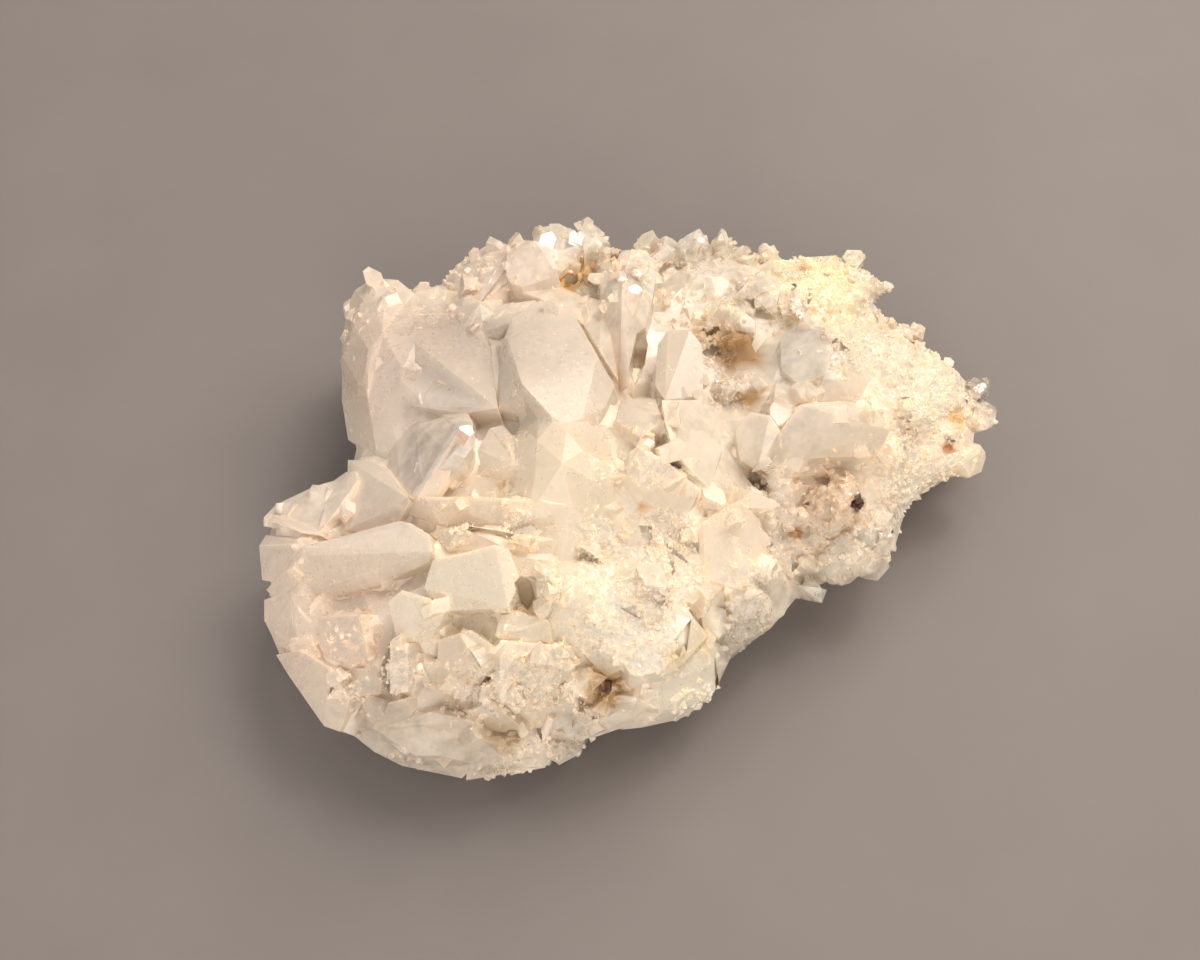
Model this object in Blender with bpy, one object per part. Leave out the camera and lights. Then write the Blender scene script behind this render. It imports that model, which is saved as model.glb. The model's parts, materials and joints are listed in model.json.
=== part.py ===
"""Clear quartz cluster: one grown-together solid.

A mound of massive milky quartz carries crystals that have grown into it and
into each other, so the whole thing is a single body.  Lengths are in
millimetres until the last step, which scales them to metres.

The layout is kept as a perspective drawing, 1200 divisions wide and 960 high,
seen from EYE.  (u, v) is a place on that drawing, v counted downwards.  A
feature is set out by its place on the drawing and by its rise over the
matrix, the mound's own surface.
"""
import bpy
import bmesh
import itertools
import math
import random

import numpy as np
from mathutils import Vector
from mathutils.geometry import delaunay_2d_cdt

# ---------------------------------------------------------------- driving sizes
NODE = "quartz_cluster"
BOARD_U, BOARD_V = 600.0, 480.0      # middle of the drawing
BOARD_F = 1666.7                     # eye to drawing, in divisions
EYE_ELEVATION = math.radians(58.0)
EYE_DISTANCE = 340.0                 # mm, eye to the aim point
AIM = np.array([0.0, 0.0, 25.0])     # mm
BACK_UNEVEN = 0.06                   # how far the broken back draws in, as a share of the rim
FOOT_SHARE = 0.74                    # the broken foot, as a share of the rim
PYRAMID = math.radians(51.8)         # rhombohedral face normal to the long axis
FILL = 1.5                           # mm, how far the matrix fills the gaps between crystals
MOST_GROWN = 100                     # chips and small crystals between the set-out ones
SLIVER_RATIO = 0.84                  # share of the triangles kept after the union
SEED = 2945

# The rim: the widest line of the matrix, clockwise, with its height over the table.
RIM = [
    (352, 292, 24), (372, 284, 27), (400, 290, 28), (430, 285, 24), (462, 276, 24),
    (500, 256, 25), (545, 244, 26), (590, 240, 26), (640, 256, 26), (690, 246, 26),
    (740, 253, 25), (790, 258, 24), (835, 265, 23), (866, 288, 22), (895, 322, 21),
    (930, 346, 20), (955, 372, 18), (978, 398, 16), (984, 414, 15), (975, 440, 15),
    (965, 462, 15), (935, 482, 15), (912, 508, 15), (896, 535, 15), (878, 560, 14),
    (840, 572, 14), (808, 590, 14), (775, 628, 14), (735, 660, 13), (716, 695, 13),
    (680, 715, 12), (635, 722, 12), (600, 735, 12), (560, 755, 11), (505, 768, 11),
    (460, 776, 11), (410, 768, 11), (360, 742, 12), (325, 730, 14), (300, 698, 15),
    (280, 665, 16), (268, 630, 17), (266, 590, 18), (262, 550, 19), (272, 516, 20),
    (310, 500, 20), (346, 480, 20), (354, 450, 21), (348, 410, 22), (346, 360, 23),
    (348, 320, 24),
]

# Heights of the matrix over the table at places of the drawing.
SPOTS = [
    (390, 330, 33), (385, 400, 31), (365, 445, 25), (300, 560, 25), (300, 640, 22),
    (330, 690, 20), (400, 620, 32), (400, 690, 25), (430, 740, 15), (480, 560, 39),
    (450, 480, 38), (500, 640, 34), (500, 700, 25), (560, 470, 44), (550, 370, 41),
    (470, 330, 33), (540, 275, 31), (560, 600, 40), (640, 590, 38), (600, 690, 24),
    (660, 700, 20), (650, 450, 42), (630, 330, 33), (700, 360, 31), (710, 300, 31),
    (700, 470, 39), (750, 480, 30), (740, 560, 30), (720, 640, 23), (780, 420, 35),
    (830, 360, 33), (820, 290, 29), (840, 500, 25), (820, 560, 20), (890, 420, 29),
    (900, 360, 27), (900, 480, 23), (950, 420, 22), (975, 415, 18),
]


def unit(v):
    v = np.asarray(v, float)
    return v / np.linalg.norm(v)


# ---------------------------------------------------------------- the drawing
SIN_E, COS_E = math.sin(EYE_ELEVATION), math.cos(EYE_ELEVATION)
RIGHT = np.array([1.0, 0.0, 0.0])
UP = np.array([0.0, SIN_E, COS_E])
FORWARD = np.array([0.0, COS_E, -SIN_E])
EYE = AIM - FORWARD * EYE_DISTANCE


def sight(u, v, z):
    """The point at height z that stands at (u, v) on the drawing."""
    ray = FORWARD * BOARD_F + RIGHT * (u - BOARD_U) + UP * (BOARD_V - v)
    return EYE + ray * ((z - EYE[2]) / ray[2])


RIM_POINTS = np.array([sight(u, v, z) for u, v, z in RIM])
CENTRE = np.array([RIM_POINTS[:, 0].mean(), RIM_POINTS[:, 1].mean()])
SPOT_POINTS = np.array([sight(u, v, z) for u, v, z in SPOTS])
KNOWN = np.vstack([SPOT_POINTS, RIM_POINTS])


def matrix_height(x, y):
    """Height of the matrix over the table, smoothly through the spots and the rim."""
    d2 = (KNOWN[:, 0] - x) ** 2 + (KNOWN[:, 1] - y) ** 2 + 4.0
    w = d2 ** -1.7
    return float((w * KNOWN[:, 2]).sum() / w.sum())


def place(u, v, rise):
    """The point on the drawing at (u, v) that stands `rise` over the matrix."""
    z = 30.0 + rise
    for _ in range(12):
        p = sight(u, v, z)
        z += 0.7 * (matrix_height(p[0], p[1]) + rise - z)
    return sight(u, v, z)


# ---------------------------------------------------------------- solids
def solid_from_planes(normals, offsets):
    """The corners of the convex solid n.x <= d."""
    n, d = np.asarray(normals, float), np.asarray(offsets, float)
    trios = np.array(list(itertools.combinations(range(len(d)), 3)))
    a, b = n[trios], d[trios]
    det = np.linalg.det(a)
    good = np.abs(det) > 1e-4
    points = np.linalg.solve(a[good], b[good][..., None])[..., 0]
    inside = (points @ n.T <= d + 1e-6).all(axis=1)
    points = points[inside]
    _, first = np.unique(np.round(points, 3), axis=0, return_index=True)
    return points[first]


def hull_object(name, points):
    """A closed convex object round these points, in metres."""
    bm = bmesh.new()
    for p in points:
        bm.verts.new(Vector(p) * 0.001)
    made = bmesh.ops.convex_hull(bm, input=bm.verts)
    loose = [v for v in made["geom_interior"] if isinstance(v, bmesh.types.BMVert)]
    bmesh.ops.delete(bm, geom=loose, context="VERTS")
    bmesh.ops.dissolve_limit(
        bm, angle_limit=math.radians(0.5), verts=bm.verts, edges=bm.edges
    )
    bmesh.ops.recalc_face_normals(bm, faces=bm.faces)
    mesh = bpy.data.meshes.new(name)
    bm.to_mesh(mesh)
    bm.free()
    obj = bpy.data.objects.new(name, mesh)
    return obj


def frame_of(axis, roll):
    """Columns: two directions across the axis and the axis."""
    side = np.cross(axis, [0.0, 0.0, 1.0])
    if np.linalg.norm(side) < 0.05:
        side = np.array([1.0, 0.0, 0.0])
    side = unit(side - axis * (side @ axis))
    other = np.cross(axis, side)
    c, s = math.cos(roll), math.sin(roll)
    return np.column_stack([side * c + other * s, other * c - side * s, axis])


def crystal_points(root, tip, width, flat=1.0, roll=0.0, kind="point", seed=0):
    """A quartz crystal from root to tip: six prism faces and a rhombohedral end."""
    rng = random.Random(SEED * 977 + seed * 7919)
    root, tip = np.asarray(root, float), np.asarray(tip, float)
    length = float(np.linalg.norm(tip - root))
    axes = frame_of((tip - root) / length, math.radians(roll))
    half = width / 2
    normals, offsets = [], []
    for k in range(6):
        a = math.radians(60 * k) + math.radians(rng.uniform(-2.5, 2.5))
        taper = math.radians(rng.uniform(1.0, 4.0))
        n = np.array([math.cos(a) * math.cos(taper), math.sin(a) * math.cos(taper), math.sin(taper)])
        far = half * rng.uniform(0.84, 1.06) * (flat if k in (1, 2, 4, 5) else 1.0)
        normals.append(n)
        offsets.append(far + n[2] * length * 0.6)
    if kind == "point":
        big = rng.choice([0, 1])
        for k in range(6):
            a = math.radians(60 * k) + math.radians(rng.uniform(-2, 2))
            t = PYRAMID + math.radians(rng.uniform(-3, 3))
            n = np.array([math.cos(a) * math.sin(t), math.sin(a) * math.sin(t), math.cos(t)])
            back = rng.uniform(0.02, 0.30) if k % 2 == big else rng.uniform(0.0, 0.10)
            normals.append(n)
            offsets.append(n[2] * length - back * half * 1.2)
    elif kind == "blunt":
        for k in range(5):
            a = rng.uniform(0, 2 * math.pi)
            t = math.radians(rng.uniform(8, 48))
            n = np.array([math.cos(a) * math.sin(t), math.sin(a) * math.sin(t), math.cos(t)])
            normals.append(n)
            offsets.append(n[2] * length + half * 0.75 * math.sin(t) * rng.uniform(0.55, 1.0))
        normals.append(np.array([0.0, 0.0, 1.0]))
        offsets.append(length)
    else:  # "chisel": two big end faces meeting in an edge
        tilt = rng.uniform(-0.3, 0.3)
        for s in (1, -1):
            a = tilt + (0 if s > 0 else math.pi)
            t = math.radians(rng.uniform(38, 55))
            n = np.array([math.cos(a) * math.sin(t), math.sin(a) * math.sin(t), math.cos(t)])
            normals.append(n)
            offsets.append(n[2] * length + rng.uniform(-0.1, 0.15) * half)
        for s in (1, -1):
            n = np.array([0.25 * s, math.sin(math.radians(40)) * s, math.cos(math.radians(40))])
            n = unit(n)
            normals.append(n)
            offsets.append(n[2] * length + rng.uniform(0.2, 0.5) * half)
    normals.append(np.array([0.0, 0.0, -1.0]))
    offsets.append(0.0)
    local = solid_from_planes(normals, offsets)
    return local @ axes.T + root


def lump_points(centre, radii, turn=0.0, faces=16, seed=0, rough=0.16):
    """An irregular block: a ball cut by `faces` planes spread evenly over it."""
    rng = random.Random(SEED * 131 + seed * 6271)
    normals, offsets = [], []
    for i in range(faces):
        z = 1 - 2 * (i + 0.5) / faces
        a = i * math.pi * (3 - math.sqrt(5)) + rng.uniform(-0.25, 0.25)
        s = math.sqrt(1 - z * z)
        n = unit([math.cos(a) * s, math.sin(a) * s, z + rng.uniform(-0.12, 0.12)])
        normals.append(n)
        offsets.append(1.0 - rng.uniform(0.0, rough))
    points = solid_from_planes(normals, offsets) * np.asarray(radii, float)
    c, s = math.cos(math.radians(turn)), math.sin(math.radians(turn))
    points = points @ np.array([[c, s, 0], [-s, c, 0], [0, 0, 1]])
    return points + np.asarray(centre, float)


# ---------------------------------------------------------------- the matrix
def matrix_object():
    """The mound: a flat foot, flanks in rings up to the rim, and a top over scattered points."""
    rng = random.Random(SEED + 1)
    rim, n = RIM_POINTS, len(RIM_POINTS)
    wave = [rng.uniform(-0.03, 0.03) for _ in range(n)]
    wave = [(wave[i - 1] + wave[i] + wave[(i + 1) % n]) / 1.5 for i in range(n)]
    bm = bmesh.new()

    def back(i):
        """0 at the front of the rim, 1 at the back."""
        return min(1.0, max(0.0, (rim[i, 1] - CENTRE[1]) / 25.0))

    def ring(share, level):
        made = []
        for i in range(n):
            x, y = CENTRE + (rim[i, :2] - CENTRE) * share(i) + [rng.uniform(-0.5, 0.5), rng.uniform(-0.5, 0.5)]
            made.append(bm.verts.new(Vector((x, y, level(i))) * 0.001))
        return made

    rings = [
        ring(lambda i: FOOT_SHARE + wave[i], lambda i: -2.0),
        ring(lambda i: 0.86 + wave[i], lambda i: 4.0 + rng.uniform(-1, 1.5)),
        ring(lambda i: 0.955 - BACK_UNEVEN * rng.random() * back(i),
             lambda i: rim[i, 2] * 0.62 + rng.uniform(-1, 1) * (1 + 3 * back(i))),
        ring(lambda i: 0.985, lambda i: rim[i, 2]),
    ]
    for low, high in zip(rings, rings[1:]):
        for i in range(n):
            j = (i + 1) % n
            bm.faces.new((low[i], low[j], high[j], high[i]))
    bm.faces.new(list(reversed(rings[0])))

    # the top: points shaken on a triangular grid, then the flattest triangles between them
    flat = [Vector(v.co[:2]) * 1000 for v in rings[-1]]
    pitch, row, y = 6.4, 0, -75.0
    while y < 75.0:
        x = -95.0 + (row % 2) * pitch / 2
        while x < 95.0:
            px, py = x + rng.uniform(-1.5, 1.5), y + rng.uniform(-1.3, 1.3)
            if inside_rim(px, py, 0.93):
                flat.append(Vector((px, py)))
            x += pitch
        y, row = y + pitch * 0.87, row + 1
    edges = [(i, (i + 1) % n) for i in range(n)]
    points, _, faces, origin, _, _ = delaunay_2d_cdt(flat, edges, [list(range(n))], 1, 1e-5)
    top = []
    for place_, from_ in zip(points, origin):
        if from_ and from_[0] < n:
            top.append(rings[-1][from_[0]])
        else:
            height = matrix_height(place_.x, place_.y) + FILL + rng.uniform(-1.0, 1.0)
            top.append(bm.verts.new(Vector((place_.x, place_.y, height)) * 0.001))
    for face in faces:
        bm.faces.new([top[i] for i in face])
    bmesh.ops.triangulate(bm, faces=bm.faces)
    bmesh.ops.recalc_face_normals(bm, faces=bm.faces)
    mesh = bpy.data.meshes.new(NODE)
    bm.to_mesh(mesh)
    bm.free()
    return bpy.data.objects.new(NODE, mesh)


# ---------------------------------------------------------------- set-out crystals
# name: (depth, skirt, corners (u, v, rise)): the convex block round its corners,
# let down into the matrix by `depth` and widened there by `skirt`
BLOCKS = {
    "left_block": (16, 1.02, [(347, 306, 3), (355, 290, 5), (373, 278, 5), (398, 280, 5), (414, 293, 6),
                              (410, 340, 9), (402, 380, 9), (381, 328, 10), (342, 350, 0), (342, 400, 0),
                              (348, 440, -1), (374, 452, 2), (398, 425, 6), (362, 345, 8), (364, 398, 7)]),
    "left_mid": (14, 1.05, [(415, 292, 4), (445, 286, 4), (480, 330, 5), (492, 345, 6), (498, 408, 7),
                            (470, 408, 7), (440, 388, 6), (402, 405, 6), (408, 330, 8)]),
    "left_low_facet": (12, 1.05, [(400, 405, 6), (435, 386, 7), (450, 395, 6), (450, 412, 6),
                                  (413, 421, 5), (388, 455, 4), (370, 452, 3), (380, 430, 4)]),
    "slope_prism": (14, 1.02, [(443, 281, 1), (458, 264, 3), (492, 242, 6), (506, 244, 6), (511, 262, 6),
                               (507, 284, 5), (480, 303, 5), (455, 292, 4)]),
    "slope_clear": (10, 1.05, [(452, 292, 4), (480, 303, 6), (502, 300, 4), (500, 322, 5), (470, 330, 5),
                               (452, 318, 4), (440, 300, 3)]),
    "rose_a": (15, 1.0, [(509, 239, 9), (535, 241, 9), (558, 251, 8), (558, 275, 7), (540, 282, 6),
                         (522, 287, 6), (512, 284, 6), (506, 276, 7), (507, 255, 9)]),
    "rose_b": (15, 1.0, [(532, 243, 6), (541, 227, 7), (560, 225, 8), (575, 230, 7), (582, 248, 7),
                         (578, 268, 5), (558, 262, 8)]),
    "rose_c": (15, 1.0, [(578, 224, 7), (586, 219, 8), (600, 229, 8), (608, 242, 7), (612, 252, 5),
                         (596, 262, 5), (584, 252, 8)]),
    "tall": (15, 1.02, [(600, 264, 8), (607, 252, 9), (622, 251, 11), (641, 249, 12), (652, 258, 11),
                        (656, 275, 9), (653, 298, 8), (640, 345, 5), (630, 383, 3), (620, 391, 2),
                        (610, 352, 4), (600, 310, 6), (622, 290, 12)]),
    "tall_low": (10, 1.05, [(575, 292, 3), (600, 300, 5), (612, 330, 6), (618, 380, 3), (600, 352, 5),
                            (580, 318, 5)]),
    "broad_face": (18, 1.0, [(500, 338, 9), (512, 318, 9), (540, 300, 9), (575, 316, 9), (600, 353, 8),
                             (618, 388, 6), (608, 408, 6), (585, 420, 7), (550, 420, 8), (535, 398, 11),
                             (520, 384, 12)]),
    "broad_left": (14, 1.02, [(494, 340, 5), (499, 408, 6), (530, 412, 6), (536, 398, 9), (520, 386, 10),
                              (500, 342, 8)]),
    "grey_facet": (12, 1.02, [(470, 320, 4), (500, 305, 5), (535, 300, 6), (540, 304, 7), (512, 322, 8),
                              (498, 336, 6), (482, 332, 5)]),
    "back_pale": (10, 1.05, [(515, 290, 4), (560, 286, 4), (590, 300, 4), (600, 330, 4), (575, 318, 6),
                             (540, 298, 7)]),
    "small_bright": (10, 1.0, [(464, 431, 9), (472, 433, 9), (473, 447, 8), (465, 458, 8), (453, 453, 9),
                               (468, 409, 6), (445, 412, 6), (420, 490, 4), (430, 499, 2), (441, 497, 1),
                               (473, 425, 8)]),
    "small_left": (10, 1.02, [(413, 421, 7), (445, 412, 8), (455, 432, 7), (450, 455, 6), (425, 490, 4),
                              (405, 500, 3), (380, 500, 2), (390, 451, 4)]),
    "dome": (10, 1.03, [(512, 446, 4.0), (521, 418, 4.5), (544, 404, 4.6), (578, 408, 4.6), (602, 428, 4.2),
                        (617, 462, 3.6), (616, 498, 2.8), (598, 524, 2.0), (560, 533, 1.4), (528, 524, 1.8),
                        (514, 492, 3.0), (536, 436, 6.2), (566, 428, 6.6), (588, 448, 6.4), (594, 482, 5.4),
                        (574, 506, 4.2), (543, 500, 4.4), (530, 468, 5.6), (562, 462, 7.2)]),
    "dome_side": (8, 1.02, [(478, 450, 4), (490, 428, 6), (503, 425, 6), (516, 440, 5), (520, 465, 4),
                            (505, 480, 2), (480, 476, 2)]),
    "ledge": (8, 1.02, [(404, 500, 4), (425, 497, 6), (470, 497, 6), (520, 497, 6), (548, 500, 4),
                        (560, 512, 4), (548, 524, 3), (500, 526, 3), (440, 524, 3), (410, 515, 3)]),
    "ledge_low": (8, 1.02, [(430, 533, 3), (460, 526, 5), (520, 528, 5), (560, 540, 3), (555, 556, 2),
                            (505, 548, 3), (448, 550, 3)]),
    "long_prism": (12, 1.0, [(373, 535, 9), (400, 521, 9), (412, 524, 9), (430, 535, 8), (432, 552, 7),
                             (428, 562, 6), (407, 570, 5), (390, 563, 6), (374, 556, 8), (300, 545, 5),
                             (266, 590, 0), (278, 602, 0), (330, 600, 2), (380, 585, 3)]),
    "wing_a": (10, 1.0, [(264, 518, 2), (276, 505, 3), (300, 496, 4), (313, 487, 4), (332, 481, 4),
                         (327, 498, 5), (316, 522, 4), (322, 532, 3), (285, 530, 3), (264, 526, 2)]),
    "wing_slat": (6, 1.0, [(267, 520, 4.5), (270, 514, 4.5), (320, 530, 6), (318, 537, 5), (300, 533, 5)]),
    "wing_b": (12, 1.0, [(333, 481, 4), (346, 472, 5), (355, 471, 6), (358, 480, 7), (350, 500, 6),
                         (335, 520, 5), (320, 530, 5), (318, 520, 4)]),
    "wing_c": (12, 1.02, [(348, 460, 2), (372, 458, 4), (390, 470, 5), (410, 500, 6), (400, 520, 5),
                          (373, 533, 5), (345, 530, 4), (352, 500, 5), (358, 478, 4)]),
    "wing_low": (10, 1.0, [(259, 546, 1), (266, 535, 2), (300, 540, 5), (310, 560, 4), (282, 585, 1),
                           (262, 580, 0)]),
    "cream_hexagon": (16, 1.02, [(432, 560, 9), (448, 552, 9), (495, 545, 9), (508, 548, 9),
                                 (520, 578, 8), (508, 608, 7), (445, 611, 6), (424, 588, 8)]),
    "hole_side": (10, 1.0, [(536, 560, 7), (552, 556, 6), (558, 590, 6), (547, 616, 4), (537, 612, 5)]),
    "hole_front": (8, 1.05, [(500, 616, 4), (520, 612, 5), (548, 620, 5), (552, 640, 4), (520, 650, 4),
                             (495, 636, 4)]),
    "sugar_block": (12, 1.02, [(318, 618, 6), (340, 612, 8), (360, 615, 8), (365, 640, 7), (368, 655, 6),
                               (355, 667, 4), (330, 662, 4), (320, 645, 5)]),
    "mid_plate": (12, 1.02, [(388, 602, 5), (402, 590, 7), (430, 598, 8), (444, 615, 8), (430, 640, 5),
                             (398, 644, 4)]),
    "tan_foot": (8, 1.0, [(350, 668, 3), (378, 668, 4), (382, 690, 3), (375, 702, 1), (345, 700, 0)]),
    "speckled": (10, 1.0, [(390, 642, 7), (408, 645, 7), (413, 668, 5), (408, 692, 4), (390, 694, 4),
                           (378, 675, 6)]),
    "small_hexagon": (8, 1.0, [(388, 703, 6), (405, 699, 6), (413, 712, 5), (405, 727, 3), (390, 725, 3),
                               (384, 713, 5)]),
    "left_slab": (12, 1.0, [(276, 655, 0), (300, 650, 4), (330, 668, 5), (350, 700, 4), (340, 732, 0),
                            (324, 726, -1), (308, 698, 0), (288, 675, 0)]),
    "left_bulge": (12, 1.0, [(264, 600, -1), (290, 592, 2), (325, 604, 4), (322, 640, 5), (300, 655, 3),
                             (276, 645, 0), (264, 620, -1)]),
    "front_glass": (14, 1.0, [(354, 736, 1), (380, 728, 5), (430, 712, 7), (470, 720, 6), (488, 750, 2),
                              (462, 778, -2), (440, 770, -2), (402, 766, -2), (374, 752, -1)]),
    "front_glass_two": (10, 1.0, [(470, 740, 3), (520, 742, 4), (554, 752, 1), (545, 768, -2),
                                  (500, 774, -3), (466, 780, -3)]),
    "low_middle": (12, 1.02, [(500, 640, 5), (530, 650, 7), (560, 645, 6), (572, 672, 6), (556, 705, 3),
                              (530, 712, 3), (500, 700, 5), (488, 670, 5)]),
    "low_left": (12, 1.02, [(438, 640, 5), (470, 630, 6), (492, 645, 6), (484, 680, 5), (465, 700, 4),
                            (436, 690, 4)]),
    "low_ridge": (10, 1.02, [(470, 712, 4), (488, 700, 6), (540, 742, 4), (552, 756, 1), (520, 752, 1),
                             (484, 734, 3)]),
    "pale_long": (12, 1.0, [(572, 728, 3), (590, 706, 7), (620, 695, 8), (650, 700, 6), (645, 720, 1),
                            (612, 731, 0), (592, 738, 0)]),
    "pale_blocks": (14, 1.0, [(655, 690, 5), (680, 650, 7), (700, 640, 8), (718, 655, 5), (722, 685, 1),
                              (716, 697, 0), (690, 708, -1), (660, 714, -1)]),
    "mid_right": (12, 1.02, [(700, 520, 7), (740, 500, 7), (760, 520, 5), (770, 560, 4), (740, 590, 4),
                             (705, 580, 6)]),
    "low_right": (12, 1.0, [(730, 590, 5), (775, 565, 5), (795, 590, 2), (784, 615, 0), (758, 634, 0),
                            (735, 640, 2)]),
    "front_fin": (4, 1.0, [(798, 585, 3), (821, 588, 3), (827, 590, 1), (822, 603, 0), (806, 600, 0)]),
    "long_clear": (14, 1.02, [(780, 432, 7), (800, 405, 8), (840, 398, 8), (880, 408, 6), (890, 430, 5),
                              (880, 455, 4), (800, 458, 4), (782, 448, 5)]),
    "round_clear": (12, 1.0, [(735, 430, 6), (750, 412, 8), (770, 415, 9), (780, 430, 8), (775, 455, 5),
                              (757, 471, 4), (740, 460, 4)]),
    "down_prism": (12, 1.0, [(662, 400, 9), (700, 400, 9), (718, 410, 6), (722, 450, 5), (710, 487, 2),
                             (690, 470, 6), (668, 440, 8)]),
    "streaked": (12, 1.02, [(625, 445, 8), (640, 440, 9), (662, 455, 9), (700, 490, 5), (690, 510, 4),
                            (640, 500, 5), (620, 470, 6)]),
    "block_f": (14, 1.0, [(658, 345, 9), (668, 330, 10), (690, 330, 11), (702, 345, 10), (703, 395, 7),
                          (690, 402, 6), (665, 400, 6), (655, 385, 7)]),
    "tan_face": (8, 1.02, [(622, 400, 3), (655, 398, 4), (662, 420, 5), (640, 440, 5), (612, 420, 4)]),
    "brown_crystal": (10, 1.0, [(720, 338, 2), (735, 332, 4), (747, 335, 4), (758, 358, 2), (753, 365, 0),
                                (740, 363, 1), (722, 355, 1)]),
    "grey_clear": (12, 1.05, [(780, 340, 5), (800, 322, 6), (825, 328, 6), (833, 350, 6), (825, 375, 5),
                              (800, 385, 4), (782, 370, 4)]),
}

# name: (root u, v, rise), (tip u, v, rise), width, flat, roll, kind
CRYSTALS = {
    "behind_left": ((430, 296, -8), (411, 258, 0), 6.5, 0.9, 0, "point"),
    "behind_left_small": ((462, 284, -8), (457, 258, 1), 4.5, 1.0, 20, "point"),
    "far_back": ((590, 262, -16), (609, 204, -5), 9.0, 0.9, 15, "point"),
    "amber_clear": ((572, 300, -6), (580, 268, 3), 4.6, 0.9, 15, "point"),
    "edge_a": ((668, 282, -6), (663, 229, 6), 8.0, 0.85, 0, "point"),
    "edge_b": ((690, 284, -6), (698, 222, 7), 7.2, 0.9, 20, "point"),
    "edge_c": ((728, 284, -6), (720, 228, 5), 5.0, 0.9, 10, "point"),
    "edge_d": ((738, 282, -5), (746, 240, 4), 6.0, 0.8, 25, "point"),
    "edge_e": ((776, 282, -5), (764, 242, 4), 4.4, 0.9, 0, "point"),
    "upper_right_a": ((716, 336, -7), (684, 262, 5), 12.0, 0.8, 20, "point"),
    "upper_right_b": ((772, 330, -7), (742, 272, 5), 12.5, 0.8, 0, "point"),
    "upper_right_c": ((868, 330, -6), (752, 288, 5), 8.5, 0.8, 10, "chisel"),
    "upper_right_d": ((700, 372, -6), (752, 300, 4), 7.0, 0.8, 10, "point"),
    "under_brown": ((700, 420, -6), (762, 376, 4), 7.0, 0.8, 0, "point"),
    "under_brown_two": ((690, 400, -6), (740, 388, 5), 5.0, 0.8, 25, "point"),
    "wedge_clear": ((790, 366, -8), (776, 426, 5), 8.0, 0.8, 20, "point"),
    "wedge_clear_two": ((812, 380, -8), (800, 404, 5), 7.0, 0.8, 0, "point"),
    "right_a": ((896, 372, -7), (858, 334, 4), 8.5, 0.9, 0, "point"),
    "right_b": ((915, 395, -8), (884, 356, 4), 9.5, 0.8, 20, "point"),
    "right_c": ((940, 425, -8), (900, 408, 4), 9.0, 0.8, 0, "point"),
    "right_tip": ((960, 400, -7), (989, 384, 2), 6.0, 0.9, 0, "point"),
    "right_tip_low": ((955, 420, -8), (986, 416, 1), 6.5, 0.9, 10, "blunt"),
    "right_pale": ((945, 455, -8), (976, 462, 1), 8.0, 0.9, 10, "blunt"),
    "front_glassy": ((570, 730, -8), (547, 768, 0), 7.0, 0.8, 0, "point"),
    "front_bead": ((850, 550, -7), (877, 570, 2), 6.0, 1.0, 0, "blunt"),
    "front_bead_two": ((835, 552, -7), (846, 574, 1), 6.5, 1.0, 20, "blunt"),
}

# name: centre (u, v, rise), radii, turn, faces, rough
LUMPS = {
    "left_shoulder": ((392, 362, -5), (10.2, 15.0, 11.0), 10, 26, 0.06),
    "front_mass": ((642, 690, -4), (15.5, 7.0, 8.0), 14, 20, 0.12),
    "front_left_mass": ((424, 728, -4), (14.0, 7.0, 8.0), -10, 20, 0.12),
    "druse_pad": ((668, 560, -3), (11.5, 11.5, 6.0), 0, 26, 0.08),
    "druse_pad_low": ((600, 600, -4), (12.0, 10.0, 6.5), 30, 22, 0.10),
    "pale_low": ((640, 640, -4), (12.0, 9.0, 6.5), 0, 22, 0.10),
    "crest": ((828, 284, -3), (11.5, 6.0, 5.5), -12, 22, 0.10),
    "right_pad": ((905, 380, -4), (13.0, 9.0, 6.5), -35, 24, 0.08),
    "right_pad_low": ((925, 450, -4), (10.0, 8.0, 6.0), 20, 22, 0.10),
    "right_low": ((850, 540, -4), (11.0, 7.0, 6.5), 25, 20, 0.12),
    "middle_right": ((730, 450, -5), (8.0, 9.0, 7.0), 0, 18, 0.12),
}

# Cavities: name: (mouth u, v, rise), (bottom u, v, rise), mouth width, length ratio
CAVITIES = {
    "triangle_hole": ((526, 596, 10), (525, 590, -9), (5.0, 9.5), 6),
    "front_crack": ((606, 692, 7), (592, 676, -8), (18.0, 3.2), 28),
    "front_crack_two": ((512, 736, 6), (500, 722, -6), (11.0, 2.6), -30),
    "brown_hollow": ((712, 330, 9), (712, 332, -3), (7.0, 4.0), 30),
    "tan_slot": ((641, 352, 10), (640, 352, -6), (4.6, 15.0), -10),
    "right_hollow": ((760, 484, 8), (757, 480, -5), (10.0, 4.0), -35),
    "right_hollow_two": ((820, 482, 8), (818, 480, -4), (15.0, 3.4), 5),
    "dark_hole": ((858, 505, 6), (857, 504, -6), (4.0, 2.4), -20),
    "brown_nick": ((508, 488, 7), (508, 486, -3), (2.2, 3.2), 0),
    "amber_hollow": ((570, 280, 8), (571, 280, -4), (5.5, 4.0), 20),
}

# Stretches of the drawing that the set-out blocks fill: (u, v, radius).
KEEP_CLEAR = [
    (372, 330, 60), (385, 400, 60), (440, 350, 60), (540, 365, 75), (578, 470, 66), (440, 455, 50),
    (472, 582, 50), (330, 570, 62), (400, 545, 40), (340, 640, 30), (526, 600, 34),
    (640, 330, 46), (715, 350, 36), (690, 420, 36), (760, 440, 30), (835, 425, 52),
    (808, 352, 34), (670, 480, 34), (480, 515, 60), (310, 505, 50), (530, 262, 44),
    (588, 245, 26), (400, 612, 24),
]


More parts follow.
